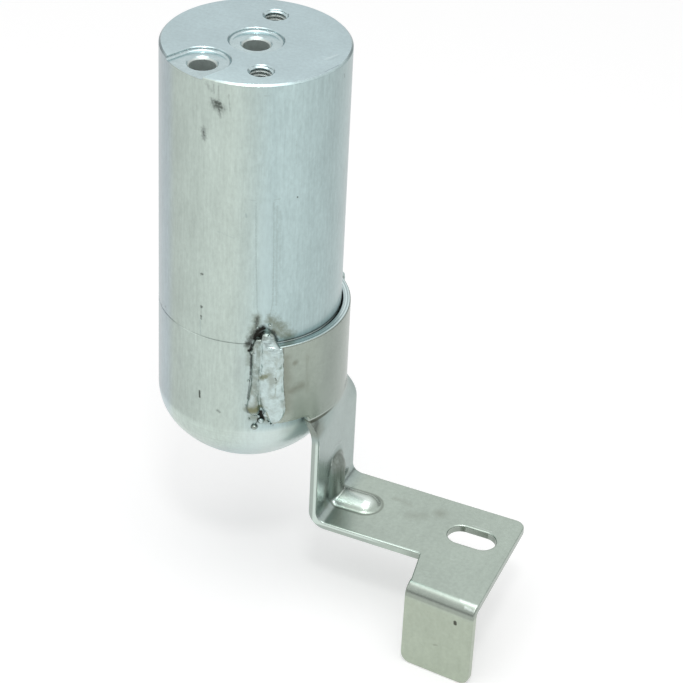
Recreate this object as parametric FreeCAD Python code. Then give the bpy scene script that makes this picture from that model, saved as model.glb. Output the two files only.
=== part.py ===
import FreeCAD, Part
import math
import os

from FreeCAD import Vector

# Suction line accumulator: a closed aluminium can with a thick machined head, held by one
# folded sheet bracket that is welded to the can along both ends of its saddle.
# The origin is the middle of the head's face, +Z is up along the can's axis, and +X is the way
# the bracket's foot reaches out. All lengths are in millimetres and all angles in degrees.

# Can
can_radius = 30.0
can_straight = 125.8
dome_depth = 24.0
dome_knuckle_radius = 18.0
can_wall = 2.5
head_thickness = 20.0
head_edge_chamfer = 0.7
head_inside_fillet = 3.0
locating_groove_height = 0.5
locating_groove_cut = 0.15

# Ports in the head: the outlet is on the axis, the inlet beside the rim
port_bore_radius = 4.2
port_mouth_chamfer = 0.8
port_seat_radius = 8.7
port_seat_depth = 1.3
port_seat_bevel = 0.25
port_seat_corner = 0.95
inlet_offset = 21.5
inlet_azimuth = -114.0

# Tapped holes, one beside each port, for the screws of the pipe blocks
screw_radius = 4.0
screw_mouth_chamfer = 0.15
screw_full_depth = 14.0
screw_drill_angle = 118.0
port_to_screw = 18.9
outlet_screw_azimuth = 96.5
inlet_screw_azimuth = 5.1

# Bracket: one sheet, with a saddle on the can, a tab down, a foot out and an ear at its end
sheet = 2.5
saddle_gap = 0.6
saddle_height = 29.9
saddle_above_dome = 3.5
saddle_half_angle = 56.0
tab_width = 32.2
tab_offset = 0.6
tab_root_drop = 2.3
tab_root_fillet = 2.2
saddle_corner_radius = 5.5
flare_height = 8.5
flare_steps = 6
flare_power = 2.2
foot_below_saddle = 41.9
foot_bend_inside = 3.5
foot_reach = 97.3
foot_turn = 1.1
foot_corner_radius = 3.5
wing_width = 25.9
ear_plane_offset = 33.2
ear_from_foot_end = 24.4
ear_turn = 6.0
ear_width = 25.2
ear_bend_inside = 2.0
ear_drop = 32.1
ear_corner_radius = 3.6

# Slot in the foot for the mounting bolt
slot_from_foot_end = 13.7
slot_length = 16.8
slot_width = 9.5
slot_edge_fillet = 0.65

# Stiffening bead pressed across the inside of the foot's bend
bead_height = 3.0
bead_half_width = 5.4
bead_up_tab = 17.8
bead_along_foot = 17.6
bead_base_fillet = 1.0

# Weld along each end of the saddle: one pass on the can and one on the sheet
weld_can_pass_radius = 2.2
weld_can_pass_beyond = 6.4
weld_can_pass_above = 1.4
weld_can_pass_short = 6.0
weld_sheet_pass_height = 1.4
weld_sheet_pass_inside = 3.0
weld_sheet_pass_above = 2.2
weld_sheet_pass_short = 5.7

# Tube inside a tube, pressed into the head under the outlet port
inner_tube_radius = 5.0
inner_tube_wall = 1.0
inner_tube_socket = 7.0
inner_tube_end_gap = 3.0
press_clearance = 0.05
outer_tube_radius = 9.0
outer_tube_wall = 1.0
outer_tube_below_head = 17.0
rib_count = 3
rib_thickness = 1.2
rib_above_tube = 3.0
rib_clearance = 0.1

# Deflector over the open top of the outer tube
deflector_radius = 22.0
deflector_thickness = 1.5
deflector_collar_wall = 1.5
deflector_collar_height = 4.0
deflector_drop = 5.0

# Strainer at the foot of the outer tube, with the oil return hole
strainer_wall = 1.5
strainer_sleeve = 9.0
strainer_skirt = 14.6
strainer_clearance = 0.05
oil_hole_radius = 0.6
strainer_window_count = 4
strainer_window_width = 8.0
strainer_window_margin = 2.0
strainer_floor_gap = 0.3
mesh_thickness = 0.4

# Desiccant bag round the outer tube, with two tie straps
bag_radius = 20.5
bag_tube_gap = 0.3
bag_above_strainer = 8.0
bag_length = 54.0
bag_corner_radius = 5.0
bag_split_angle = 30.0
tie_width = 4.0
tie_thickness = 0.8
tie_lock_length = 6.0
tie_lock_height = 1.8
tie_positions = (0.27, 0.73)

up = Vector(0, 0, 1)


def polar(radius, angle, z):
    """Return the point at this radius and azimuth from the can's axis."""
    turn = math.radians(angle)
    return Vector(radius * math.cos(turn), radius * math.sin(turn), z)


def cylinder(radius, z_low, z_high, x=0.0, y=0.0):
    """Return an upright cylinder between two heights."""
    return Part.makeCylinder(radius, z_high - z_low, Vector(x, y, z_low), up)


def cone(radius_low, radius_high, z_low, z_high, x=0.0, y=0.0):
    """Return an upright cone between two heights."""
    return Part.makeCone(radius_low, radius_high, z_high - z_low, Vector(x, y, z_low), up)


def line(start, end):
    """Return a straight edge."""
    return Part.LineSegment(start, end).toShape()


def arc(start, middle, end):
    """Return a round edge through three points."""
    return Part.Arc(start, middle, end).toShape()


def corner_arc(start, corner, end):
    """Return the quarter round that takes the place of a square corner."""
    inward = start + end - corner * 2
    return arc(start, corner + inward * (1 - math.sqrt(0.5)), end)


def middle_of(edge):
    """Return the point halfway along an edge."""
    return edge.valueAt((edge.FirstParameter + edge.LastParameter) / 2)


def on_skin(point, shape):
    """Tell if a point lies on a shape's outside."""
    return shape.Shells[0].distToShape(Part.Vertex(point))[0] < 0.01


def revolved(edges, angle=360.0):
    """Return the solid that a closed profile in the XZ plane sweeps round the can's axis."""
    face = Part.Face(Part.Wire(edges))
    return face.revolve(Vector(0, 0, 0), up, angle)


def dome_rise(radius, depth, knuckle):
    """Return how far the crown's centre lies above the dome's top, for crown and knuckle to meet."""
    reach = radius - knuckle
    drop = depth - knuckle
    return (reach ** 2 - drop ** 2) / (2 * drop)


def dome_edges(radius, depth, knuckle, z_top):
    """Return the knuckle and crown arcs from the wall at z_top in to the axis below."""
    reach = radius - knuckle
    rise = dome_rise(radius, depth, knuckle)
    crown = rise + depth
    lean = math.atan2(rise, reach)
    side = Vector(radius, 0, z_top)
    knuckle_middle = Vector(
        reach + knuckle * math.cos(lean / 2), 0, z_top - knuckle * math.sin(lean / 2)
    )
    meeting = Vector(reach + knuckle * math.cos(lean), 0, z_top - knuckle * math.sin(lean))
    half_crown = (lean + math.pi / 2) / 2
    crown_middle = Vector(
        crown * math.cos(half_crown), 0, z_top + rise - crown * math.sin(half_crown)
    )
    bottom = Vector(0, 0, z_top - depth)
    return [arc(side, knuckle_middle, meeting), arc(meeting, crown_middle, bottom)]


# Vessel body: impact extruded can with its solid head, spun closed at the bottom

outlet_place = Vector(0, 0, 0)
inlet_place = polar(inlet_offset, inlet_azimuth, 0)
outlet_screw_place = outlet_place + polar(port_to_screw, outlet_screw_azimuth, 0)
inlet_screw_place = inlet_place + polar(port_to_screw, inlet_screw_azimuth, 0)
seat_wall = port_seat_depth - port_seat_bevel
seat_corner = min(port_seat_corner, 0.9 * seat_wall)
cavity_radius = can_radius - can_wall
cavity_dome_depth = dome_depth - can_wall
cavity_knuckle = dome_knuckle_radius - can_wall
head_under = -head_thickness
saddle_bottom = saddle_above_dome - can_straight
saddle_top = saddle_bottom + saddle_height


def can_outside():
    """Return the solid envelope of the can, with its edge break and its locating groove."""
    groove_half = locating_groove_height / 2
    points = [
        Vector(0, 0, 0),
        Vector(can_radius - head_edge_chamfer, 0, 0),
        Vector(can_radius, 0, -head_edge_chamfer),
        Vector(can_radius, 0, saddle_top + groove_half),
        Vector(can_radius - locating_groove_cut, 0, saddle_top),
        Vector(can_radius, 0, saddle_top - groove_half),
        Vector(can_radius, 0, -can_straight),
    ]
    edges = [line(points[i], points[i + 1]) for i in range(len(points) - 1)]
    edges += dome_edges(can_radius, dome_depth, dome_knuckle_radius, -can_straight)
    edges.append(line(Vector(0, 0, -can_straight - dome_depth), points[0]))
    return revolved(edges)


def can_inside():
    """Return the cavity below the head, with a fillet under the head."""
    corner_start = Vector(cavity_radius - head_inside_fillet, 0, head_under)
    corner_end = Vector(cavity_radius, 0, head_under - head_inside_fillet)
    edges = [
        line(Vector(0, 0, head_under), corner_start),
        corner_arc(corner_start, Vector(cavity_radius, 0, head_under), corner_end),
        line(corner_end, Vector(cavity_radius, 0, -can_straight)),
    ]
    edges += dome_edges(cavity_radius, cavity_dome_depth, cavity_knuckle, -can_straight)
    edges.append(line(Vector(0, 0, -can_straight - cavity_dome_depth), Vector(0, 0, head_under)))
    return revolved(edges)


def seat_profile():
    """Return the half section of a port's seat: bevel, wall, round corner and flat floor."""
    radius = port_seat_radius
    floor = -port_seat_depth
    above = head_edge_chamfer
    corner_start = Vector(radius, 0, floor + seat_corner)
    corner_end = Vector(radius - seat_corner, 0, floor)
    points = [
        Vector(0, 0, floor),
        Vector(0, 0, above),
        Vector(radius + port_seat_bevel, 0, above),
        Vector(radius + port_seat_bevel, 0, 0),
        Vector(radius, 0, -port_seat_bevel),
        corner_start,
    ]
    edges = [line(points[i], points[i + 1]) for i in range(len(points) - 1)]
    edges.append(corner_arc(corner_start, Vector(radius, 0, floor), corner_end))
    edges.append(line(corner_end, points[0]))
    return edges


def port_bore():
    """Return the chamfered mouth and the bore of a port on the can's axis."""
    floor = -port_seat_depth
    mouth_radius = port_bore_radius + port_mouth_chamfer
    mouth = cone(port_bore_radius, mouth_radius, floor - port_mouth_chamfer, floor)
    bore = cylinder(port_bore_radius, head_under - can_wall, floor)
    return mouth.fuse(bore)


def outlet_cut():
    """Return the outlet's round seat and its bore."""
    return revolved(seat_profile()).fuse(port_bore())


def inlet_cut():
    """Return the inlet's bore and its seat, which runs out through the rim."""
    quarter = Part.Face(Part.Wire(seat_profile()))
    quarter.rotate(Vector(0, 0, 0), up, 90)
    run = Vector(can_radius, 0, 0)
    left = quarter.extrude(run)
    quarter.rotate(Vector(0, 0, 0), up, 180)
    right = quarter.extrude(run)
    cut = outlet_cut().fuse([left, right])
    cut.rotate(Vector(0, 0, 0), up, inlet_azimuth)
    cut.translate(inlet_place)
    return cut


def screw_cut(place):
    """Return one blind hole at the thread's outer radius, with its drilled point."""
    x, y = place.x, place.y
    point_depth = screw_radius / math.tan(math.radians(screw_drill_angle / 2))
    mouth_radius = screw_radius + screw_mouth_chamfer
    mouth = cone(screw_radius, mouth_radius, -screw_mouth_chamfer, 0, x, y)
    hole = cylinder(screw_radius, -screw_full_depth, 0, x, y)
    point = cone(0, screw_radius, -screw_full_depth - point_depth, -screw_full_depth, x, y)
    return hole.fuse([mouth, point])


def make_vessel_body():
    """Return the can with its head, ports, tapped holes and tube socket."""
    socket_radius = inner_tube_radius + press_clearance
    socket = cylinder(socket_radius, head_under - can_wall, head_under + inner_tube_socket)
    body = can_outside().cut(can_inside())
    cuts = [outlet_cut(), inlet_cut(), screw_cut(outlet_screw_place)]
    cuts += [screw_cut(inlet_screw_place), socket]
    return body.cut(cuts).removeSplitter()


# Bracket: the feature that takes the most skill, folded from one blank

saddle_inner = can_radius + saddle_gap
saddle_outer = saddle_inner + sheet
tab_front = saddle_outer
tab_back = tab_front - sheet
tab_near = tab_offset - tab_width / 2
tab_far = tab_offset + tab_width / 2
saddle_turn = math.degrees(math.asin(tab_offset / saddle_outer))
flare_top = saddle_bottom - tab_root_drop
flare_bottom = flare_top - flare_height
foot_top = saddle_bottom - foot_below_saddle
foot_under = foot_top - sheet
foot_bend_outside = foot_bend_inside + sheet
foot_start = tab_front + foot_bend_inside
ear_bend_outside = ear_bend_inside + sheet
ear_bottom = foot_top - ear_drop
wing_start = foot_reach - wing_width
slot_middle = foot_reach - slot_from_foot_end
ear_along = Vector(math.cos(math.radians(ear_turn)), -math.sin(math.radians(ear_turn)), 0)
ear_out = Vector(-math.sin(math.radians(ear_turn)), -math.cos(math.radians(ear_turn)), 0)
ear_corner = Vector(foot_reach - ear_from_foot_end, -ear_plane_offset, 0)


def saddle():
    """Return the curved saddle with the root of the tab, cut to its flat outline."""
    height = saddle_top - flare_top
    ring = Part.makeCylinder(saddle_outer, height, Vector(0, 0, flare_top), up, 2 * saddle_half_angle)
    ring.rotate(Vector(0, 0, 0), up, saddle_turn - saddle_half_angle)
    ring = ring.cut(cylinder(saddle_inner, flare_top, saddle_top))
    beyond = saddle_outer + sheet
    turn = tab_root_fillet
    far_start = Vector(0, tab_far + turn, saddle_bottom)
    far_end = Vector(0, tab_far, saddle_bottom - turn)
    near_start = Vector(0, tab_near - turn, saddle_bottom)
    near_end = Vector(0, tab_near, saddle_bottom - turn)
    near_y = polar(saddle_outer, saddle_turn - saddle_half_angle, 0).y
    far_y = polar(saddle_outer, saddle_turn + saddle_half_angle, 0).y
    across = saddle_corner_radius * math.cos(math.radians(saddle_half_angle))
    rise = saddle_bottom + saddle_corner_radius
    near_low = Vector(0, near_y + across, saddle_bottom)
    far_low = Vector(0, far_y - across, saddle_bottom)
    points = [
        Vector(0, near_y, rise),
        Vector(0, -beyond, rise),
        Vector(0, -beyond, saddle_top),
        Vector(0, beyond, saddle_top),
        Vector(0, beyond, rise),
        Vector(0, far_y, rise),
    ]
    edges = [line(near_start, near_low), corner_arc(near_low, Vector(0, near_y, saddle_bottom), points[0])]
    edges += [line(points[i], points[i + 1]) for i in range(len(points) - 1)]
    edges += [corner_arc(points[-1], Vector(0, far_y, saddle_bottom), far_low), line(far_low, far_start)]
    edges.append(corner_arc(far_start, Vector(0, tab_far, saddle_bottom), far_end))
    edges.append(line(far_end, Vector(0, tab_far, flare_top)))
    edges.append(line(Vector(0, tab_far, flare_top), Vector(0, tab_near, flare_top)))
    edges.append(line(Vector(0, tab_near, flare_top), near_end))
    edges.append(corner_arc(near_end, Vector(0, tab_near, saddle_bottom), near_start))
    outline = Part.Face(Part.Wire(edges)).extrude(Vector(beyond, 0, 0))
    return ring.common(outline)


def bowed(radius, y, z, flat, fade):
    """Return the point at y between the saddle's round (fade 1) and the flat tab (fade 0)."""
    bow = radius - math.sqrt(radius ** 2 - y ** 2)
    return Vector(flat - bow * fade, y, z)


def flare_section(share):
    """Return the cross-section of the flare, from the saddle's round (0) to the flat tab (1)."""
    z = flare_top + share * (flare_bottom - flare_top)
    fade = (1 - share) ** flare_power
    front_near = bowed(saddle_outer, tab_near, z, tab_front, fade)
    front_far = bowed(saddle_outer, tab_far, z, tab_front, fade)
    back_near = bowed(saddle_inner, tab_near, z, tab_back, fade)
    back_far = bowed(saddle_inner, tab_far, z, tab_back, fade)
    if fade == 0:
        front = line(front_near, front_far)
        back = line(back_far, back_near)
    else:
        front = arc(front_near, Vector(tab_front, 0, z), front_far)
        back = arc(back_far, Vector(tab_back, 0, z), back_near)
    return Part.Wire([front, line(front_far, back_far), back, line(back_near, front_near)])


def flare():
    """Return the stretch where the round saddle turns into the flat tab."""
    sections = [flare_section(step / flare_steps) for step in range(flare_steps + 1)]
    return Part.makeLoft(sections, True, True)


def tab_and_bend():
    """Return the flat tab with the bend at its foot, as one profile pulled across."""
    low = foot_top + foot_bend_inside
    edges = [
        line(Vector(tab_back, tab_near, flare_bottom), Vector(tab_front, tab_near, flare_bottom)),
        line(Vector(tab_front, tab_near, flare_bottom), Vector(tab_front, tab_near, low)),
        corner_arc(
            Vector(tab_front, tab_near, low), Vector(tab_front, tab_near, foot_top),
            Vector(foot_start, tab_near, foot_top),
        ),
        line(Vector(foot_start, tab_near, foot_top), Vector(foot_start, tab_near, foot_under)),
        corner_arc(
            Vector(foot_start, tab_near, foot_under), Vector(tab_back, tab_near, foot_under),
            Vector(tab_back, tab_near, low),
        ),
        line(Vector(tab_back, tab_near, low), Vector(tab_back, tab_near, flare_bottom)),
    ]
    return Part.Face(Part.Wire(edges)).extrude(Vector(0, tab_width, 0))


def on_foot(x, y):
    """Return the point of the foot, which sits a little out of square with the tab."""
    point = Vector(x - tab_front, y, 0)
    turned = FreeCAD.Rotation(up, -foot_turn).multVec(point)
    return turned + Vector(tab_front, tab_offset, 0)


def slot_cut():
    """Return the slot, along the foot's middle line."""
    slot_radius = slot_width / 2
    slot_half = slot_length / 2 - slot_radius
    near_end = on_foot(slot_middle - slot_half, 0)
    far_end = on_foot(slot_middle + slot_half, 0)
    low = foot_under - sheet
    high = foot_top + sheet
    waist = Part.makeBox(2 * slot_half, slot_width, high - low, Vector(0, -slot_radius, low))
    waist.rotate(Vector(0, 0, 0), up, -foot_turn)
    waist.translate(near_end)
    first = cylinder(slot_radius, low, high, near_end.x, near_end.y)
    second = cylinder(slot_radius, low, high, far_end.x, far_end.y)
    return waist.fuse([first, second])


def foot():
    """Return the flat foot with its wing and its slot."""
    bend_left = ear_corner - ear_out * ear_bend_outside
    bend_right = bend_left + ear_along * ear_width
    half_width = tab_width / 2
    corner = foot_corner_radius
    near_start = Vector(foot_start, tab_near, 0)
    far_start = Vector(foot_start, tab_far, 0)
    corner_start = on_foot(foot_reach - corner, half_width)
    corner_end = on_foot(foot_reach, half_width - corner)
    notch = on_foot(wing_start, -half_width)
    edges = [
        line(far_start, corner_start),
        corner_arc(corner_start, on_foot(foot_reach, half_width), corner_end),
        line(corner_end, bend_right),
        line(bend_right, bend_left),
        line(bend_left, notch),
        line(notch, near_start),
        line(near_start, far_start),
    ]
    plate = Part.Face(Part.Wire(edges)).extrude(Vector(0, 0, sheet))
    plate.translate(Vector(0, 0, foot_under))
    slot = slot_cut()
    plate = plate.cut(slot)
    top_edges = [edge for edge in plate.Edges if edge.BoundBox.ZMin > foot_top - 0.01]
    return plate.makeFillet(slot_edge_fillet, [e for e in top_edges if on_skin(middle_of(e), slot)])


def ear():
    """Return the bend at the wing's edge and the ear that hangs from it."""
    bend_left = ear_corner - ear_out * ear_bend_outside
    top_left = bend_left + up * foot_top
    under_left = bend_left + up * foot_under
    top_right = top_left + ear_along * ear_width
    under_right = under_left + ear_along * ear_width
    wire = Part.makePolygon([top_left, top_right, under_right, under_left, top_left])
    hinge = bend_left + up * (foot_top - ear_bend_outside)
    bend = Part.Face(wire).revolve(hinge, ear_along, 90)
    level = foot_top - ear_bend_outside
    corner = ear_corner_radius

    def on_plane(along, z):
        return ear_corner + ear_along * along + up * z

    edges = [
        line(on_plane(0, level), on_plane(ear_width, level)),
        line(on_plane(ear_width, level), on_plane(ear_width, ear_bottom + corner)),
        corner_arc(
            on_plane(ear_width, ear_bottom + corner), on_plane(ear_width, ear_bottom),
            on_plane(ear_width - corner, ear_bottom),
        ),
        line(on_plane(ear_width - corner, ear_bottom), on_plane(corner, ear_bottom)),
        corner_arc(
            on_plane(corner, ear_bottom), on_plane(0, ear_bottom), on_plane(0, ear_bottom + corner)
        ),
        line(on_plane(0, ear_bottom + corner), on_plane(0, level)),
    ]
    plate = Part.Face(Part.Wire(edges)).extrude(ear_out * -sheet)
    return bend.fuse(plate)


def bead(lift):
    """Return the bead across the bend; lift is how far its skin lies from the inner skin."""
    round_radius = (bead_half_width ** 2 + bead_height ** 2) / (2 * bead_height)
    radius = round_radius - lift
    sink = round_radius - bead_height
    axis_x = tab_front - sink
    axis_z = foot_top - sink
    tab_end = foot_top + bead_up_tab
    foot_end = tab_front + bead_along_foot
    straight_up = tab_end - axis_z - round_radius
    straight_out = foot_end - axis_x - round_radius
    corner = Vector(axis_x, tab_offset, axis_z)
    upright = Part.makeCylinder(radius, straight_up, corner, up)
    level = Part.makeCylinder(radius, straight_out, corner, Vector(1, 0, 0))
    tip_up = Part.makeSphere(radius, corner + up * straight_up)
    tip_out = Part.makeSphere(radius, corner + Vector(straight_out, 0, 0))
    elbow = Part.makeSphere(radius, corner)
    return upright.fuse([level, tip_up, tip_out, elbow])


def make_bracket():
    """Return the folded bracket as one solid."""
    blank = saddle().fuse([flare(), tab_and_bend(), foot(), ear()]).removeSplitter()
    reach = bead_up_tab + bead_along_foot
    corner = Vector(tab_back, tab_near, foot_under)
    inner_side = Part.makeBox(reach, tab_width, reach, corner)
    skin = bead(0.0)
    pressed = blank.fuse(skin.common(inner_side)).cut(bead(sheet)).removeSplitter()
    base = [e for e in pressed.Edges if on_skin(middle_of(e), skin) and on_skin(middle_of(e), blank)]
    return pressed.makeFillet(bead_base_fillet, base)


# Welds: filler that closes the step between each end of the saddle and the can

def weld_bar(radius, angle, base_radius, above, short):
    """Return an upright bar with round ends, from above the saddle to short of its bottom."""
    middle = polar(base_radius, angle, 0)
    top = saddle_top + above
    bottom = saddle_bottom + short
    bar = cylinder(radius, bottom, top, middle.x, middle.y)
    tip_top = Part.makeSphere(radius, middle + up * top)
    tip_bottom = Part.makeSphere(radius, middle + up * bottom)
    return bar.fuse([tip_top, tip_bottom])


def make_weld(side, bracket):
    """Return both passes of the weld at the saddle's near (-1) or far (1) end, as one solid."""
    can_pass = weld_bar(
        weld_can_pass_radius, saddle_turn + side * (saddle_half_angle + weld_can_pass_beyond),
        can_radius, weld_can_pass_above, weld_can_pass_short,
    )
    sheet_pass = weld_bar(
        sheet + weld_sheet_pass_height, saddle_turn + side * (saddle_half_angle - weld_sheet_pass_inside),
        saddle_inner, weld_sheet_pass_above, weld_sheet_pass_short,
    )
    gap = Part.makeCylinder(
        saddle_inner, saddle_height, Vector(0, 0, saddle_bottom), up, 2 * saddle_half_angle
    )
    gap.rotate(Vector(0, 0, 0), up, saddle_turn - saddle_half_angle)
    can = cylinder(can_radius, -can_straight, 0)
    return can_pass.fuse(sheet_pass).cut([can, bracket, gap])


# Tubes inside the can: the strainer stands just off the dome and sets where the tubes end

strainer_inner = outer_tube_radius + strainer_clearance
strainer_outer = strainer_inner + strainer_wall
cavity_rise = dome_rise(cavity_radius, cavity_dome_depth, cavity_knuckle)
cavity_crown = cavity_rise + cavity_dome_depth
strainer_floor = cavity_rise - can_straight - math.sqrt(cavity_crown ** 2 - strainer_outer ** 2)
strainer_bottom = strainer_floor + strainer_floor_gap
outer_tube_bottom = strainer_bottom + strainer_skirt + strainer_wall
outer_tube_top = head_under - outer_tube_below_head
inner_tube_bottom = outer_tube_bottom + inner_tube_end_gap


def make_inner_tube():
    """Return the tube that carries the vapour up to the outlet port."""
    top = head_under + inner_tube_socket
    tube = cylinder(inner_tube_radius, inner_tube_bottom, top)
    hole = cylinder(inner_tube_radius - inner_tube_wall, inner_tube_bottom, top)
    return tube.cut(hole)


def make_outer_tube():
    """Return the outer tube with its inner ribs, which stand a little above its open top."""
    outer_inside = outer_tube_radius - outer_tube_wall
    tube = cylinder(outer_tube_radius, outer_tube_bottom, outer_tube_top)
    tube = tube.cut(cylinder(outer_inside, outer_tube_bottom, outer_tube_top))
    rib_start = inner_tube_radius + rib_clearance
    rib_length = outer_inside + outer_tube_wall / 2 - rib_start
    rib_top = outer_tube_top + rib_above_tube
    ribs = []
    for number in range(rib_count):
        rib = Part.makeBox(
            rib_length, rib_thickness, rib_top - inner_tube_bottom,
            Vector(rib_start, -rib_thickness / 2, inner_tube_bottom),
        )
        rib.rotate(Vector(0, 0, 0), up, number * 360.0 / rib_count)
        ribs.append(rib)
    return tube.fuse(ribs).removeSplitter()


def make_deflector():
    """Return the dished disc, on its collar, that keeps liquid off the outer tube's open top."""
    seat = outer_tube_top + rib_above_tube
    top = seat + deflector_thickness
    rim = seat - deflector_drop
    hole = inner_tube_radius + rib_clearance
    collar = hole + deflector_collar_wall
    points = [
        Vector(hole, 0, seat),
        Vector(outer_tube_radius, 0, seat),
        Vector(deflector_radius, 0, rim),
        Vector(deflector_radius, 0, rim + deflector_thickness),
        Vector(outer_tube_radius, 0, top),
        Vector(collar, 0, top),
        Vector(collar, 0, top + deflector_collar_height),
        Vector(hole, 0, top + deflector_collar_height),
        Vector(hole, 0, seat),
    ]
    return revolved([line(points[i], points[i + 1]) for i in range(len(points) - 1)])


# Strainer under the outer tube

def make_strainer_housing():
    """Return the cup on the outer tube's end, with the oil hole and a windowed skirt."""
    sleeve_top = outer_tube_bottom + strainer_sleeve
    floor_under = outer_tube_bottom - strainer_wall
    cup = cylinder(strainer_outer, strainer_bottom, sleeve_top)
    cup = cup.cut(cylinder(strainer_inner, outer_tube_bottom, sleeve_top))
    cup = cup.cut(cylinder(strainer_inner, strainer_bottom, floor_under))
    cup = cup.cut(cylinder(oil_hole_radius, floor_under, outer_tube_bottom))
    window_top = floor_under - strainer_window_margin
    window_bottom = strainer_bottom + strainer_window_margin
    windows = []
    for number in range(strainer_window_count):
        window = Part.makeBox(
            strainer_outer + 1, strainer_window_width, window_top - window_bottom,
            Vector(0, -strainer_window_width / 2, window_bottom),
        )
        window.rotate(Vector(0, 0, 0), up, (number + 0.5) * 360.0 / strainer_window_count)
        windows.append(window)
    return cup.cut(windows)


def make_strainer_mesh():
    """Return the mesh sleeve that lines the strainer's skirt."""
    outer = strainer_inner - strainer_clearance
    top = outer_tube_bottom - strainer_wall
    sleeve = cylinder(outer, strainer_bottom, top)
    return sleeve.cut(cylinder(outer - mesh_thickness, strainer_bottom, top))


# Desiccant bag and its ties

bag_bottom = outer_tube_bottom + strainer_sleeve + bag_above_strainer


def make_desiccant_bag():
    """Return the sealed bag wrapped round the outer tube, open along one side."""
    inner = outer_tube_radius + bag_tube_gap
    bottom = bag_bottom
    top = bottom + bag_length
    turn = bag_corner_radius
    edges = [
        line(Vector(inner, 0, bottom), Vector(bag_radius - turn, 0, bottom)),
        corner_arc(
            Vector(bag_radius - turn, 0, bottom), Vector(bag_radius, 0, bottom),
            Vector(bag_radius, 0, bottom + turn),
        ),
        line(Vector(bag_radius, 0, bottom + turn), Vector(bag_radius, 0, top - turn)),
        corner_arc(
            Vector(bag_radius, 0, top - turn), Vector(bag_radius, 0, top),
            Vector(bag_radius - turn, 0, top),
        ),
        line(Vector(bag_radius - turn, 0, top), Vector(inner, 0, top)),
        line(Vector(inner, 0, top), Vector(inner, 0, bottom)),
    ]
    bag = revolved(edges, 360.0 - bag_split_angle)
    bag.rotate(Vector(0, 0, 0), up, bag_split_angle / 2)
    return bag


def make_bag_ties():
    """Return the two tie straps, each with its lock, as one group."""
    inner = bag_radius + press_clearance
    ties = []
    for share in tie_positions:
        middle = bag_bottom + share * bag_length
        low = middle - tie_width / 2
        high = middle + tie_width / 2
        strap = cylinder(inner + tie_thickness, low, high).cut(cylinder(inner, low, high))
        lock = Part.makeBox(
            tie_lock_height, tie_lock_length, tie_width,
            Vector(inner + tie_thickness / 2, -tie_lock_length / 2, low),
        )
        lock.rotate(Vector(0, 0, 0), up, 180)
        ties.append(strap.fuse(lock).removeSplitter())
    return Part.makeCompound(ties)


def save(name, shape):
    """Write one sub-part to its own file and print its size."""
    shape.exportStep("parts/" + name + ".step")
    print(name, "solids", len(shape.Solids), "volume", round(shape.Volume, 1), "valid", shape.isValid())


os.makedirs("parts", exist_ok=True)
vessel_body = make_vessel_body()
bracket = make_bracket()
save("vessel_body", vessel_body)
save("bracket", bracket)
save("weld_front", make_weld(-1, bracket))
save("weld_rear", make_weld(1, bracket))
save("inner_tube", make_inner_tube())
save("outer_tube", make_outer_tube())
save("deflector", make_deflector())
save("strainer_housing", make_strainer_housing())
save("strainer_mesh", make_strainer_mesh())
save("desiccant_bag", make_desiccant_bag())
save("bag_ties", make_bag_ties())
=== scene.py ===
import bpy
import bmesh
from math import asin, atan2, copysign, cos, degrees, exp, hypot, pi, radians, sin, sqrt, tan, tau

from mathutils import Matrix, Vector, noise


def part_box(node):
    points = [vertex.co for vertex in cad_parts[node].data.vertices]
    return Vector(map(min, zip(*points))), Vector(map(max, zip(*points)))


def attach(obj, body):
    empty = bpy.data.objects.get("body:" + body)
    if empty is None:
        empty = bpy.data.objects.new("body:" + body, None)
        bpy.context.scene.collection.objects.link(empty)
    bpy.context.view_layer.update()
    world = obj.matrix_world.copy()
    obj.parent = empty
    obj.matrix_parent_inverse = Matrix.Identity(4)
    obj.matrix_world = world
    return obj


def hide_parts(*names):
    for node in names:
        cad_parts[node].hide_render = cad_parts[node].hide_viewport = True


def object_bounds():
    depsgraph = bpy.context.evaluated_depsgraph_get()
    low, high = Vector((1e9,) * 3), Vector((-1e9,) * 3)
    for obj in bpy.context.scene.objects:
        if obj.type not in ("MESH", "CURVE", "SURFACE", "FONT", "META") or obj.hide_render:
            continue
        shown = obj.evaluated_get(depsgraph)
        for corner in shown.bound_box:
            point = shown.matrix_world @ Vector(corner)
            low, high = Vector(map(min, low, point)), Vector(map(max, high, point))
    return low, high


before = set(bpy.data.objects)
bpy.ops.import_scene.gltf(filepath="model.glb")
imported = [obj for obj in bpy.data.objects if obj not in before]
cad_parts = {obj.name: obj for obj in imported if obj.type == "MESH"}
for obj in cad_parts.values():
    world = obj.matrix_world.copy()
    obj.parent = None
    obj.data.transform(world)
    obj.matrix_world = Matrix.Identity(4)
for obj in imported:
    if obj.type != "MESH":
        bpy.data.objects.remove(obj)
cad_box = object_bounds()

# Can: one piece of aluminium, impact extruded with its thick head and spun closed at the bottom.
# The head is then faced, and the two port seats, their bores and the two M8 holes are machined.
# A shallow line is turned round the wall, level with the top of the bracket's saddle.

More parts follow.
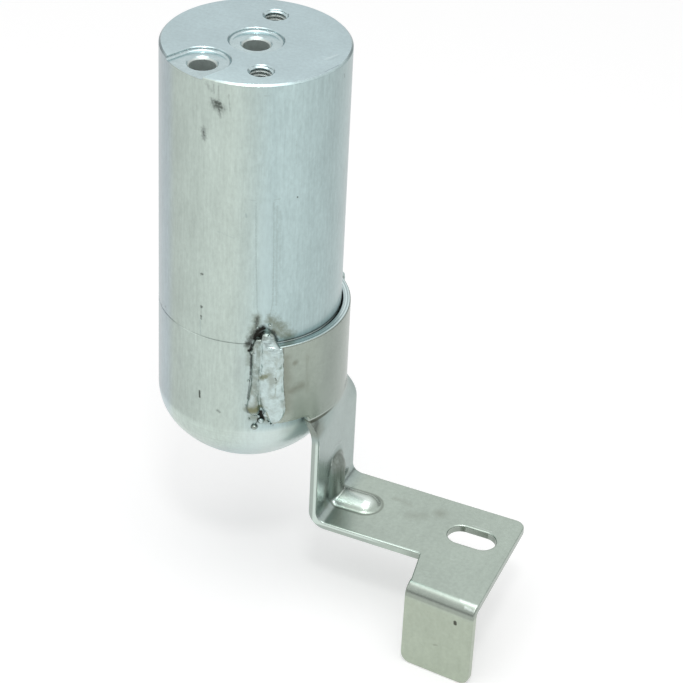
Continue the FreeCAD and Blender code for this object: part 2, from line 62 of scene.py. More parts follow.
mm = 0.001
can_radius = 30.0 * mm
can_straight = 125.8 * mm
dome_depth = 24.0 * mm
knuckle_radius = 18.0 * mm
can_wall = 2.5 * mm
head_thickness = 20.0 * mm
inside_corner = 3 * mm
rim_break = 0.7 * mm
line_depth = 92.4 * mm
line_half = 0.25 * mm
line_sink = 0.17 * mm
above_face = 0.5 * mm
seat_radius = 8.7 * mm
seat_depth = 1.3 * mm
seat_bevel = 0.25 * mm
seat_corner = 0.95 * mm
bore_radius = 4.2 * mm
bore_chamfer = 0.8 * mm
socket_radius = 5.05 * mm
socket_depth = 13.0 * mm
thread_outer = 4.0 * mm
thread_inner = 3.38 * mm
thread_pitch = 1.25 * mm
thread_turns = 12
screw_depth = 14.0 * mm
drill_half_angle = 59
inlet_place = Vector((-8.745, -19.641, 0)) * mm
outlet_screw_place = Vector((-2.140, 18.779, 0)) * mm
inlet_screw_place = Vector((10.080, -17.961, 0)) * mm
edit = bpy.ops.mesh


def spot(radius, z):
    """Return a point in the XZ plane."""
    return Vector((radius, 0, z))


def rounded(centre, radius, start, end, steps):
    """Return an arc's points in the XZ plane, with degrees from +X."""
    turns = [radians(start + (end - start) * step / steps) for step in range(steps + 1)]
    return [centre + spot(cos(turn), sin(turn)) * radius for turn in turns]


def drawn_line(name, points):
    """Draw a profile: one corner, extruded from point to point."""
    bpy.ops.object.select_all(action="DESELECT")
    edit.primitive_plane_add(size=mm)
    piece = bpy.context.object
    piece.name = piece.data.name = name
    bpy.ops.object.mode_set(mode="EDIT")
    edit.select_mode(type="VERT")
    edit.select_all(action="SELECT")
    edit.merge(type="CENTER")
    bpy.ops.transform.translate(value=points[0])
    for start, end in zip(points, points[1:]):
        edit.extrude_region_move(TRANSFORM_OT_translate={"value": end - start})
    return piece


def revolve(steps, angle):
    """Turn the profile that is being drawn round Z."""
    edit.select_all(action="SELECT")
    edit.spin(steps=steps, angle=angle, center=(0, 0, 0), axis=(0, 0, 1))


def merge_points():
    """Merge points that lie on each other."""
    edit.select_all(action="SELECT")
    edit.remove_doubles(threshold=0.002 * mm)


def select_open_edges():
    """Select the edges where a skin ends."""
    edit.select_mode(type="EDGE")
    edit.select_all(action="DESELECT")
    edit.select_non_manifold(extend=False)


def close_up():
    """Merge points and turn every face outwards, then leave edit mode."""
    merge_points()
    edit.normals_make_consistent(inside=False)
    bpy.ops.object.mode_set(mode="OBJECT")


def turned(name, points, steps):
    """Turn a half profile, whose ends lie on the axis, into a closed solid."""
    piece = drawn_line(name, points)
    revolve(steps, tau)
    close_up()
    return piece


def select_only(piece):
    """Select one piece and make it the active one."""
    bpy.ops.object.select_all(action="DESELECT")
    bpy.context.view_layer.objects.active = piece
    piece.select_set(True)


def worked(piece, kind, **settings):
    """Run one modifier on the active piece."""
    tool = piece.modifiers.new(kind, kind)
    for key, value in settings.items():
        setattr(tool, key, value)
    bpy.ops.object.modifier_apply(modifier=tool.name)


def cut(piece, cutter):
    """Take the cutter's shape out of the piece."""
    select_only(piece)
    worked(piece, "BOOLEAN", operation="DIFFERENCE", solver="EXACT", object=cutter)
    bpy.data.objects.remove(cutter)


def move_mesh(piece, matrix):
    """Move, turn or scale a piece's mesh, but not its object."""
    piece.data.transform(matrix)
    piece.data.update()


def dome(radius, depth, knuckle, z_top, steps):
    """Return a domed bottom's profile, from the wall in to the axis."""
    reach = radius - knuckle
    drop = depth - knuckle
    rise = (reach ** 2 - drop ** 2) / (2 * drop)
    lean = degrees(atan2(rise, reach))
    knuckle_arc = rounded(spot(reach, z_top), knuckle, 0, -lean, steps)
    crown_arc = rounded(spot(0, z_top + rise), rise + depth, -lean, -90, steps)
    return knuckle_arc + crown_arc[1:]


can = turned("can", [
    spot(0, 0), spot(can_radius - rim_break - 0.12 * mm, 0),
    spot(can_radius - rim_break + 0.05 * mm, -0.06 * mm),
    spot(can_radius - 0.06 * mm, -rim_break + 0.05 * mm),
    spot(can_radius, -rim_break - 0.12 * mm), spot(can_radius, -2.2 * mm),
    *[spot(can_radius, -z * mm) for z in (30, 60, 90, 91.6)],
    spot(can_radius, -line_depth + line_half), spot(can_radius - line_sink, -line_depth),
    spot(can_radius, -line_depth - line_half), spot(can_radius, -93.2 * mm),
    *dome(can_radius, dome_depth, knuckle_radius, -can_straight, 14)], 288)

under_head = -head_thickness
inside_radius = can_radius - can_wall
inside_turn = spot(inside_radius - inside_corner, under_head - inside_corner)
cut(can, turned("can_hollow", [
    spot(0, -socket_depth), spot(socket_radius, -socket_depth), spot(socket_radius, under_head),
    *rounded(inside_turn, inside_corner, 90, 0, 6),
    *dome(inside_radius, dome_depth - can_wall, knuckle_radius - can_wall, -can_straight, 8)], 96))

# A port seat's section runs from above the face down its bevel, wall and round corner.
seat_side = [
    spot(0, above_face), spot(seat_radius + seat_bevel + above_face, above_face),
    spot(seat_radius + seat_bevel, 0), spot(seat_radius, -seat_bevel),
    *rounded(spot(seat_radius - seat_corner, -seat_depth + seat_corner), seat_corner, 0, -90, 8)]


def port_mouth(reach):
    """Return a bore's section, from the seat's floor down."""
    return [spot(bore_radius + bore_chamfer, -seat_depth),
            spot(bore_radius, -seat_depth - bore_chamfer), spot(bore_radius, -reach),
            spot(0, -reach)]


def cut_at(place, cutter, turn=Matrix()):
    """Cut the can with a cutter that is turned and moved to its place."""
    move_mesh(cutter, Matrix.Translation(place) @ turn)
    cut(can, cutter)


cut(can, turned("outlet_cutter", seat_side + port_mouth(socket_depth + 1 * mm), 128))

inlet_seat = drawn_line("inlet_seat_cutter", seat_side + [spot(0, -seat_depth)])
revolve(64, pi)
merge_points()
select_open_edges()
edit.extrude_region_move(TRANSFORM_OT_translate={"value": (0, 20 * mm, 0)})
edit.edge_face_add()
close_up()
seat_turn = atan2(inlet_place.y, inlet_place.x) - pi / 2
cut_at(inlet_place, inlet_seat, Matrix.Rotation(seat_turn, 4, "Z"))

inlet_mouth = [spot(0, above_face), spot(bore_radius + bore_chamfer, above_face)]
inlet_mouth += port_mouth(head_thickness + can_wall)
cut_at(inlet_place, turned("inlet_bore_cutter", inlet_mouth, 96))


def thread_cutter():
    """Return an M8 hole's core: the thread's section, screwed round and closed at its ends."""
    low = -screw_depth - thread_pitch
    section = []
    for turn in range(thread_turns + 2):
        z = low + turn * thread_pitch
        section += [spot(thread_inner, z), spot(thread_inner, z + 0.2 * thread_pitch),
                    spot(thread_outer, z + 0.55 * thread_pitch),
                    spot(thread_outer, z + 0.65 * thread_pitch)]
    section.append(spot(thread_inner, low + (thread_turns + 2) * thread_pitch))
    core = drawn_line("thread_cutter", section)
    bpy.ops.object.mode_set(mode="OBJECT")
    worked(core, "SCREW", angle=tau, screw_offset=thread_pitch, steps=60, render_steps=60,
           use_merge_vertices=False)
    bpy.ops.object.mode_set(mode="EDIT")
    merge_points()
    select_open_edges()
    edit.fill()
    close_up()
    return core


def m8_hole(place):
    """Cut one threaded hole with its drilled point and its broken edge."""
    core = thread_cutter()
    drill = thread_inner - 0.05 * mm
    broken = thread_outer + 0.2 * mm
    tip = [spot(0, -screw_depth + 3 * mm), spot(drill, -screw_depth + 3 * mm),
           spot(drill, -screw_depth),
           spot(0, -screw_depth - thread_inner / tan(radians(drill_half_angle)))]
    mouth = [spot(0, above_face), spot(broken + above_face, above_face), spot(broken, 0),
             spot(thread_inner - 0.1 * mm, -0.9 * mm), spot(0, -0.9 * mm)]
    for cutter in (core, turned("drill_cutter", tip, 48), turned("mouth_cutter", mouth, 64)):
        cut_at(place, cutter)


m8_hole(outlet_screw_place)
m8_hole(inlet_screw_place)


def smooth(piece, angle):
    """Shade a piece smooth, with edges sharper than the angle left crisp."""
    select_only(piece)
    bpy.ops.object.shade_smooth_by_angle(angle=radians(angle))
    if angle < 60:
        worked(piece, "WEIGHTED_NORMAL", keep_sharp=True, weight=100)


smooth(can, 25)


def node(kind, inputs=(), **settings):
    """Add a node to the tree at work; inputs pair a socket with a value or another socket."""
    made = tree.nodes.new("ShaderNode" + kind)
    for key, value in settings.items():
        setattr(made, key, value)
    for key, value in inputs:
        if isinstance(value, bpy.types.NodeSocket):
            tree.links.new(value, made.inputs[key])
        else:
            made.inputs[key].default_value = value
    return made


def new_finish(name, metallic, roughness):
    """Return a new material, its tree and shader, and the surface's place and its three parts."""
    finish = bpy.data.materials.new(name)
    finish.use_nodes = True
    tree = finish.node_tree
    shader = tree.nodes["Principled BSDF"]
    shader.inputs["Metallic"].default_value = metallic
    shader.inputs["Roughness"].default_value = roughness
    place = tree.nodes.new("ShaderNodeTexCoord").outputs["Object"]
    split = tree.nodes.new("ShaderNodeSeparateXYZ")
    tree.links.new(place, split.inputs[0])
    return finish, tree, shader, place, *split.outputs


def grain(scale, stretch=(1, 1, 1), detail=4.0, rough=0.6):
    """Return a noise value, stretched by a factor for each axis."""
    place = node("Mapping", [("Vector", here), ("Scale", stretch)]).outputs[0]
    return node("TexNoise", [("Vector", place), ("Scale", scale), ("Detail", detail),
                             ("Roughness", rough)]).outputs["Fac"]


def ramp(value, *stops):
    """Return the grey that a value picks from stops of (position, grey)."""
    made = node("ValToRGB", [("Fac", value)])
    band = made.color_ramp
    while len(band.elements) < len(stops):
        band.elements.new(0.5)
    for element, (position, shade) in zip(band.elements, stops):
        element.position = position
        element.color = (shade, shade, shade, 1.0)
    return made.outputs["Color"]


def tone(shade):
    """Return a colour from three parts or from one grey, and a socket as it is."""
    if isinstance(shade, bpy.types.NodeSocket):
        return shade
    return (*shade, 1.0) if isinstance(shade, tuple) else (shade, shade, shade, 1.0)


def blend(amount, first, second, way="MIX"):
    """Return two colours mixed by an amount."""
    return node("Mix", [("Factor", amount), (6, tone(first)), (7, tone(second))],
                data_type="RGBA", blend_type=way).outputs[2]


def tinted(colour, shade, where=None):
    """Return a colour multiplied by a shade, all over or where a value says."""
    return blend(1.0, colour, shade if where is None else blend(where, 1.0, shade), "MULTIPLY")


def grained(colour, value, low, high):
    """Return a colour made darker and lighter by a noise value."""
    return tinted(colour, ramp(value, (0.3, low), (0.7, high)))


def sums(way, *values, **settings):
    """Return the result of a sum on values."""
    return node("Math", enumerate(values), operation=way, **settings).outputs[0]


def times(value, *others):
    """Return the product of values."""
    for other in others:
        value = sums("MULTIPLY", value, other)
    return value


def vectors(way, *values):
    """Return the result of a sum on vectors, which is a number for some sums."""
    made = node("VectorMath", enumerate(values), operation=way)
    return made.outputs["Value" if way in ("DOT_PRODUCT", "LENGTH", "DISTANCE") else 0]


def fade(value, start, end, unit=mm):
    """Return 0 to 1 as a value goes from start to end, softly."""
    limits = [("Value", value), ("From Min", start * unit), ("From Max", end * unit)]
    return node("MapRange", limits, interpolation_type="SMOOTHSTEP").outputs[0]


def within(value, low, high, soft, unit=mm):
    """Return 1 where a value lies between two limits, with soft ends."""
    return times(fade(value, low - soft, low + soft, unit),
                 fade(value, high + soft, high - soft, unit))


def gap_to(start, end=None, ragged=None, uneven=0.0):
    """Return the distance from a place, or from the line between two, made uneven by a noise."""
    nearest = start = start * mm
    if end is not None:
        along = end * mm - start
        offset = vectors("SUBTRACT", here, start)
        share = vectors("DOT_PRODUCT", offset, along / along.length_squared)
        share = sums("MULTIPLY", share, 1.0, use_clamp=True)
        nearest = vectors("MULTIPLY_ADD", along, share, start)
    gap = vectors("DISTANCE", here, nearest)
    if ragged is not None:
        gap = sums("MULTIPLY_ADD", sums("SUBTRACT", ragged, 0.5), uneven * mm, gap)
    return gap


def at(x, y, z=0.0):
    """Return a place, in millimetres."""
    return Vector((x, y, z))


def on_can(azimuth, z, radius=30.0):
    """Return the place on the can at an azimuth in degrees and a height."""
    turn = radians(azimuth)
    return Vector((radius * cos(turn), radius * sin(turn), z))


def marked(colour, shade, ragged, rows, place=on_can, parts=2):
    """Blend a shade in at marks. A row has a mark's one place, or the two ends of its line, in so
    many parts each, and then its radius, soft edge, unevenness (in millimetres) and amount."""
    amount = 0.0
    for *ends, radius, soft, uneven, strength in rows:
        spots = [place(*ends[k:k + parts]) for k in range(0, len(ends), parts)]
        gap = gap_to(*spots, ragged=ragged, uneven=uneven)
        part = times(fade(gap, radius + soft, radius - soft), strength)
        amount = sums("MAXIMUM", amount, part)
    return blend(amount, colour, shade)


def from_axis():
    """Return the surface's distance from the can's axis."""
    return vectors("LENGTH", vectors("MULTIPLY", here, (1, 1, 0)))


def toward(azimuth):
    """Return how far the surface lies out to one side of the can."""
    return vectors("DOT_PRODUCT", here, on_can(azimuth, 0, 1))


def wired(colour, relief, depth):
    """Give the shader its colour and its relief, with a depth in millimetres."""
    tree.links.new(colour, shader.inputs["Base Color"])
    bump = node("Bump", [("Height", relief), ("Distance", depth * mm), ("Strength", 1.0)])
    tree.links.new(bump.outputs["Normal"], shader.inputs["Normal"])


def dressed(piece, finish):
    """Give a piece its only material."""
    piece.data.materials.clear()
    piece.data.materials.append(finish)


finish, tree, shader, here, reach, aside, height = new_finish("drawn_can", 1.0, 0.3)
straight_end = -can_straight / mm
line_level = -line_depth / mm
on_dome = fade(height, straight_end + 1, straight_end - 2)
on_wall = sums("MAXIMUM", fade(from_axis(), 29.3, 29.8), on_dome)
on_head = sums("SUBTRACT", 1.0, on_wall)
in_seat = times(fade(height, -0.02, -0.1), on_head)
in_bore = times(fade(height, -1.45, -1.9), on_head)
drawn = grain(1500.0, (1, 1, 0.07), 6.0)
broad = grain(170.0, (1, 1, 0.05), 5.0)
cloudy = grain(60.0, (1, 1, 0.8), 6.0, 0.65)
mottled = grain(900.0, (1, 1, 0.5), 5.0, 0.7)
faced = grain(700.0, (0.08, 1, 1), 5.0)
turned_rings = grain(1400.0, (0.01, 0.01, 1), 3.0)
ragged = grain(1500.0, rough=0.75)
smoky = grain(420.0, detail=7.0, rough=0.72)
# Layer Weight's facing value, used below for painted shade on the wall.
facing = node("LayerWeight", [("Blend", 0.5)]).outputs["Facing"]
# Painted reflections: the wall's colour changes with the side it faces, warmer toward azimuth -101
# and cooler and bluish toward -152.
wall_colour = blend(fade(toward(-101), 20, 28.5), (0.435, 0.55, 0.55), (0.475, 0.555, 0.51))
wall_colour = blend(fade(toward(-152), 25, 27.8), wall_colour, (0.44, 0.525, 0.548))
colour = blend(on_wall, (0.485, 0.605, 0.63), wall_colour)
# Painted light: the head is lighter toward its front edge.
colour = blend(times(fade(aside, -14, -28), on_head), colour, (0.555, 0.695, 0.72))
colour = blend(in_seat, colour, (0.49, 0.60, 0.615))
colour = blend(in_bore, colour, (0.55, 0.61, 0.59))
head_grain = ramp(faced, (0.3, 0.975), (0.7, 1.02))
colour = tinted(colour, blend(on_wall, head_grain, ramp(drawn, (0.3, 0.93), (0.7, 1.05))))
colour = grained(colour, mottled, 0.91, 1.07)
colour = tinted(colour, ramp(broad, (0.25, 0.93), (0.5, 1.0), (0.75, 1.03)), on_wall)
colour = grained(colour, cloudy, 0.93, 1.05)
# Painted light: the dome is lightened all over, along with its turned rings, and lighter still on
# its right side.
colour = tinted(colour, ramp(turned_rings, (0.35, 1.05), (0.6, 1.16)), on_dome)
colour = blend(times(on_dome, fade(reach, 2, 20), 0.6), colour, (0.72, 0.80, 0.76))
# Painted shade: the wall is lighter where it faces the view and darker toward its edges, wherever
# the camera stands.
colour = tinted(colour, ramp(facing, (0.16, 1.08), (0.3, 1.0), (0.5, 0.87), (1.0, 0.8)),
                sums("SUBTRACT", on_wall, on_dome))

# The turned line gets painted shade, which shows most on the side toward the weld.
in_line = within(height, line_level - 0.16, line_level + 0.04, 0.06)
colour = blend(times(in_line, fade(reach, -16, 2), 0.6), colour, (0.20, 0.24, 0.22))

# Scuffs and drawing lines: thin, broken and pale grey, mostly up and down the wall.
colour = marked(colour, (0.34, 0.42, 0.41), ragged, [
    (-63.3, -40.6, -62.4, -60, 0.16, 0.2, 0.9, 0.7), (-62.4, -60, -61, -79, 0.16, 0.2, 0.9, 0.75),
    (-61, -79, -59.2, -83.4, 0.2, 0.2, 0.8, 0.6), (-52.7, -40.6, -51.8, -60, 0.16, 0.2, 0.9, 0.7),
    (-51.8, -60, -51.6, -77, 0.2, 0.2, 0.9, 0.75), (-51.6, -77, -53.6, -83.2, 0.2, 0.2, 0.8, 0.65),
    (-67.2, -39.4, -63.6, -39.6, 0.12, 0.2, 0.7, 0.6),
    (-52.6, -39.6, -48.6, -39.4, 0.12, 0.2, 0.7, 0.6),
    (-50.6, -42, -49.4, -78, 0.3, 0.45, 2.2, 0.5), (-48.6, -44, -47.6, -70, 0.2, 0.4, 2.0, 0.4),
    (-124.5, -45.4, -124.5, -74.4, 0.2, 0.25, 0.8, 0.75),
    (-135.3, -72.4, -135.3, -89.1, 0.2, 0.25, 0.8, 0.7),
    (-124, -36, -122, -38.5, 0.2, 0.25, 0.8, 0.6),
    (-68.9, -44.5, -68.7, -45.5, 0.25, 0.2, 0.6, 0.8), (-40, -20, -39.5, -28, 0.12, 0.2, 0.9, 0.5),
    (-97, -86, -96.6, -92, 0.12, 0.2, 0.8, 0.8), (-86, -52, -76, -53.5, 0.1, 0.2, 1.4, 0.5)])
colour = marked(colour, (0.5, 0.62, 0.62), ragged, [(-57.4, -42, -56.6, -78.5, 2.0, 0.6, 0.6, 0.4)])

# Soft grey rubbed places, low on the wall.
colour = marked(colour, (0.36, 0.41, 0.40), smoky, [
    (-72.3, -104.5, -70, -99.3, 1.0, 2.6, 4.0, 0.45), (-67, -97.7, 0.6, 1.6, 3.0, 0.4),
    (-112.2, -107.8, -114.2, -104.4, 0.6, 1.8, 2.6, 0.4)])

# Stains and specks under the inlet and down the wall, and faint rubs on the head.
colour = marked(colour, (0.26, 0.30, 0.28), ragged, [
    (-89.8, -1.6, -89.5, -4.5, 0.1, 0.3, 1.6, 0.8), (-86.8, -1.6, -86.5, -7, 0.1, 0.3, 1.5, 0.75),
    (-86.8, -9.5, -85.2, -11.8, 0.4, 0.4, 1.9, 0.75), (-91, -6.4, -89, -9.4, 0.4, 0.5, 2.0, 0.7),
    (-94.2, -2, -91.2, -3.8, 0.4, 0.6, 2.4, 0.5), (-80.5, -4, -79.5, -9.5, 0.1, 0.3, 1.4, 0.6),
    (-60, -3.6, -57, -3.6, 0.1, 0.15, 0.8, 0.6), (-96.2, -17.4, -95.6, -20.6, 0.75, 0.6, 3.0, 0.9)])
colour = marked(colour, (0.06, 0.07, 0.06), ragged, [
    (-88.6, -8, -85.4, -9, 1.1, 1.5, 4.5, 0.6), (-88.4, -7.4, -86, -7.6, 0.75, 0.6, 2.4, 0.9),
    (-88, -8.5, -85.2, -8.6, 0.7, 0.6, 2.2, 0.85),
    (-86.4, -8.6, -85.8, -9.8, 0.35, 0.4, 1.8, 0.75),
    (-95.9, -18.4, -95.7, -19.6, 0.15, 0.3, 1.4, 0.8), (-37.9, -39.9, 0.25, 0.15, 0.4, 0.9),
    (-96, -69.1, 0.42, 0.35, 1.6, 0.8), (-96.8, -69.6, 0.15, 0.2, 0.9, 0.6),
    (-96.1, -81.4, 0.4, 0.35, 1.4, 0.8), (-96.4, -84.7, -96.3, -86, 0.25, 0.3, 1.2, 0.8),
    (-96.9, -113.9, -96.7, -116.3, 0.32, 0.25, 0.6, 0.95),
    (-96.3, -81.4, -96.5, -85.2, 0.02, 0.2, 0.7, 0.7),
    (-84.2, -119.5, -83, -120, 0.4, 0.4, 1.2, 0.5), (-138.1, -91.7, 0.3, 0.3, 1.0, 0.6),
    (-131, -90.2, 0.3, 0.3, 1.0, 0.5), (-1.5, -4, -0.5, -5.4, 0.12, 0.15, 0.6, 0.7)])
colour = marked(colour, (0.25, 0.32, 0.34), ragged, [
    (28.4, -6.2, 29.6, -2.2, 0.15, 0.2, 0.6, 0.7), (27.3, -9.6, 28.6, -5.4, 0.12, 0.2, 0.6, 0.6),
    (25.5, -1.5, 26.8, 2.2, 0.2, 0.4, 1.2, 0.25)], at)
colour = marked(colour, (0.75, 0.85, 0.86), ragged, [
    (24.0, -2.0, 26.0, 2.5, 0.3, 0.4, 2.0, 0.35)], at)

# Smoke from welding: a brown fan on the right, soot at both ends and a dark line along the left.
colour = marked(colour, (0.21, 0.245, 0.20), smoky, [
    (-52, -83.6, -40, -90.8, 1.6, 1.8, 7.0, 0.95), (-50.5, -87.4, -43, -90.8, 1.0, 1.2, 3.4, 0.9),
    (-52.4, -82.6, -50, -84.6, 0.6, 1.2, 3.4, 0.8),
    (-61.5, -120.8, -53.5, -122.4, 1.2, 1.4, 3.4, 0.8),
    (-66, -117.5, -62, -119.2, 0.7, 0.8, 2.4, 0.9), (-63.2, -89.4, -61, -82.4, 1.3, 1.4, 4.0, 0.8),
    (-66.2, -92.4, -65.5, -100, 0.6, 0.9, 3.0, 0.55)])
colour = marked(colour, (0.02, 0.02, 0.017), smoky, [
    (-62.6, -90.2, -60.6, -87.6, 0.9, 0.8, 2.6, 1.0),
    (-60.6, -87.6, -57, -86.4, 1.1, 0.7, 2.6, 1.0), (-58.8, -88.8, -56.8, -88, 1.0, 0.5, 1.6, 1.0),
    (-61.4, -87, -60.8, -82.6, 0.35, 0.9, 3.4, 0.75),
    (-64.2, -92.3, -63.2, -90.4, 0.35, 0.4, 1.6, 0.9),
    (-54.6, -86.4, -50, -88.4, 0.2, 0.5, 2.2, 0.75),
    (-50.4, -88.4, -48.2, -91.6, 0.5, 0.4, 1.4, 0.8),
    (-63.8, -92.6, -64.6, -95, 0.45, 0.3, 0.9, 0.95), (-65.2, -94.8, 0.6, 0.3, 0.6, 1.0),
    (-64.6, -95.2, -63.8, -96.8, 0.4, 0.3, 0.8, 0.9),
    (-65.2, -92.6, -62, -87.6, 0.9, 1.3, 5.0, 0.85),
    (-63.7, -96.2, -64, -104, 0.35, 0.3, 1.0, 0.85),
    (-64, -104, -65.4, -113.5, 0.2, 0.25, 0.8, 0.7), (-66.4, -116, -65, -119, 0.25, 0.3, 1.0, 0.6),
    (-57.6, -119, -56.2, -121.6, 0.9, 0.4, 1.6, 1.0), (-57, -121.9, 1.35, 0.3, 0.9, 1.0),
    (-59, -122.4, -60, -123.4, 0.3, 0.4, 1.4, 0.8), (-60.9, -124.5, 1.15, 0.3, 0.7, 0.9),
    (-52.4, -122.4, -49.6, -124.4, 0.35, 0.3, 1.2, 0.75)])
roughness = blend(in_bore, blend(in_seat, 0.3, 0.22), 0.42)
tree.links.new(roughness, shader.inputs["Roughness"])
tree.links.new(sums("SUBTRACT", 1.0, times(in_bore, 0.35)), shader.inputs["Metallic"])
wired(colour, blend(on_wall, faced, drawn), 0.006)
dressed(can, finish)
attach(can, "root")
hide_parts("vessel_body")

# Bracket: one 2.5 mm aluminium sheet, blanked and folded into a saddle round the can, a tab down,
# a foot out with a slot for its bolt, and an ear at the foot's end. A bead is pressed across the
# foot's bend. Blanking rounds the face side's edges over. Its lengths below are in millimetres.

sheet = 2.5
edge_round = 0.65
saddle_radius = 33.1
saddle_top = -92.4
saddle_bottom = -122.3
saddle_near = radians(-54.96)
saddle_far = radians(57.04)
saddle_corner = 5.5
tab_middle = 0.6
tab_half = 16.1
root_fillet = 2.2
flare_start = -124.6
flare_end = -133.1
foot_top = -164.2
foot_bend = 3.5
foot_end = 97.3
foot_corner = 3.5
foot_turn = radians(1.1)
wing_start = 71.4
near_corner = 0.1234
far_corner = 0.8766
ear_bend = 4.5
ear_width = 25.2
ear_bottom = -196.3
ear_corner = 3.6
ear_along = at(cos(radians(6)), -sin(radians(6)))
ear_out = at(-sin(radians(6)), -cos(radians(6)))
ear_hinge = at(72.9, -33.2) - ear_out * ear_bend
bead_rise = 3.0
bead_round = 6.36
bead_up = 17.8
bead_out = 17.6
bead_sink = bead_round - bead_rise
bead_elbow = at(saddle_radius - bead_sink, tab_middle, foot_top - bead_sink)
bead_head = at(bead_elbow.x, tab_middle, foot_top + bead_up - bead_round)
bead_toe = at(saddle_radius + bead_out - bead_round, tab_middle, bead_elbow.z)
bead_fillet = 0.6
bead_elbow_fillet = 0.9
bead_margin = 1.2
flare_ease = 2.2
edge_turns = (22.5, 45, 67.5, 90)
slot_middle = 83.6
slot_length = 16.8
slot_width = 9.5
slot_points = 64


def between(start, end, steps):
    """Return evenly spaced values, without the first."""
    return [start + (end - start) * step / steps for step in range(1, steps + 1)]


def on_foot(along, across):
    """Return a point of the foot, which sits a little out of square with the tab."""
    turned_by = Matrix.Rotation(-foot_turn, 3, "Z") @ at(along - saddle_radius, across)
    return turned_by + at(saddle_radius, tab_middle, foot_top)


def soft_max(first, second, blend_width):
    """Return the larger of two heights, with a round fillet where they meet."""
    near = max(blend_width - abs(first - second), 0)
    return max(first, second) + near * near / (4 * blend_width)


def way_out(point, way, start, end):
    """Return how far along a direction a point leaves the bead's round bar between two ends."""
    axis = (end - start).normalized()
    offset = point - start
    flat_way = way - axis * way.dot(axis)
    flat_offset = offset - axis * offset.dot(axis)
    square = flat_way.length_squared
    if square > 1e-6:
        half = flat_way.dot(flat_offset)
        root = half * half - square * (flat_offset.length_squared - bead_round ** 2)
        if root >= 0:
            out = (sqrt(root) - half) / square
            if 0 <= (offset + way * out).dot(axis) <= (end - start).length:
                return out
    best = -bead_rise
    for ball in (start, end):
        half = way.dot(point - ball)
        root = half * half - (point - ball).length_squared + bead_round ** 2
        if root >= 0:
            best = max(best, sqrt(root) - half)
    return best


def pressed(point, way):
    """Return a point of the sheet's face after the bead is pressed along the face's normal."""
    lift = soft_max(way_out(point, way, bead_elbow, bead_head),
                    way_out(point, way, bead_elbow, bead_toe), bead_elbow_fillet)
    return point + way * soft_max(lift, 0, bead_fillet)


def corner_turned(p, q):
    """Return where a point of a unit square goes when its far corner is made round."""
    share = max(p, q) / hypot(p, q) if p > 0 and q > 0 else 1
    return p * share, q * share


inner_half = tab_half - edge_round
wing_line = wing_start + edge_round
block = foot_corner - edge_round
inner_side = inner_half - block
strip = [0.4 * step for step in range(1, 19)] + [8.4, 9.8, 11.2]
strip += [inner_side + block * k / 4 for k in range(5)]
strip = [-t for t in reversed(strip)] + [0] + strip


def spread(t, edge):
    """Return a strip position with the outer columns stretched to reach an edge."""
    if abs(t) <= inner_side:
        return t
    share = (abs(t) - inner_side) / block
    return copysign(inner_side + (edge - inner_side) * share, t)


blank = bmesh.new()


def lay(rows):
    """Add a patch of the sheet's face from rows of points."""
    grid = [[blank.verts.new(point) for point in row] for row in rows]
    for upper, lower in zip(grid, grid[1:]):
        for k in range(len(upper) - 1):
            blank.faces.new((upper[k], lower[k], lower[k + 1], upper[k + 1]))


def on_saddle(angle, z):
    """Return a point of the saddle's round outside."""
    return at(saddle_radius * cos(angle), saddle_radius * sin(angle), z)


root_edge = tab_half + root_fillet
shrink = edge_round / saddle_radius
near_end = saddle_near + shrink
far_end = saddle_far - shrink
corner_top = saddle_bottom + saddle_corner
corner_drop = saddle_corner - edge_round
round_size = corner_drop / saddle_radius
near_root = asin((tab_middle - root_edge) / saddle_radius)
far_root = asin((tab_middle + root_edge) / saddle_radius)
angles = [near_end + round_size * k / 5 for k in range(5)] + [near_end + round_size]
angles += between(near_end + round_size, near_root, 8)
angles += [asin((tab_middle + spread(t, root_edge)) / saddle_radius) for t in strip[1:]]
angles += between(far_root, far_end - round_size, 8)
angles += [far_end - round_size * (5 - k) / 5 for k in range(1, 6)]
heights = [saddle_top - edge_round] + between(saddle_top - edge_round, corner_top, 9)
heights += between(corner_top, saddle_bottom + edge_round, 5)
rows = []
for z in heights:
    row = []
    for angle in angles:
        side = max(near_end + round_size - angle, angle - far_end + round_size) / round_size
        p, q = corner_turned(side, (corner_top - z) / corner_drop)
        shift = copysign((side - p) * round_size, angle)
        row.append(on_saddle(angle - shift, corner_top - q * corner_drop))
    rows.append(row)
lay(rows)

rows = []
fillet = root_fillet + edge_round
for turn in (90, 75, 60, 45, 30, 15, 0):
    z = saddle_bottom - root_fillet + fillet * sin(radians(turn))
    edge = root_edge - fillet * cos(radians(turn))
    sides = [spread(t, edge) + tab_middle for t in strip]
    rows.append([at(sqrt(saddle_radius ** 2 - y * y), y, z) for y in sides])
for z in between(flare_start, flare_end, 10):
    bow_left = (1 - (flare_start - z) / (flare_start - flare_end)) ** flare_ease
    row = []
    for t in strip:
        y = t + tab_middle
        bow = saddle_radius - sqrt(saddle_radius ** 2 - y * y)
        row.append(at(saddle_radius - bow * bow_left, y, z))
    rows.append(row)
tab_end = foot_top + foot_bend
bead_top = foot_top + bead_up + bead_margin
for z in between(flare_end, bead_top, 4) + between(bead_top, tab_end, 36):
    rows.append([pressed(at(saddle_radius, t + tab_middle, z), at(1, 0)) for t in strip])
centre = at(saddle_radius + foot_bend, 0, tab_end)
for turn in between(0, 90, 14)[:-1]:
    way = at(cos(radians(turn)), 0, sin(radians(turn)))
    rows.append([pressed(centre - way * foot_bend + at(0, t + tab_middle), way) for t in strip])
foot_start = centre.x
bead_end = saddle_radius + bead_out + bead_margin
reaches = [foot_start] + between(foot_start, bead_end, 36) + between(bead_end, wing_line, 6)[:-1]
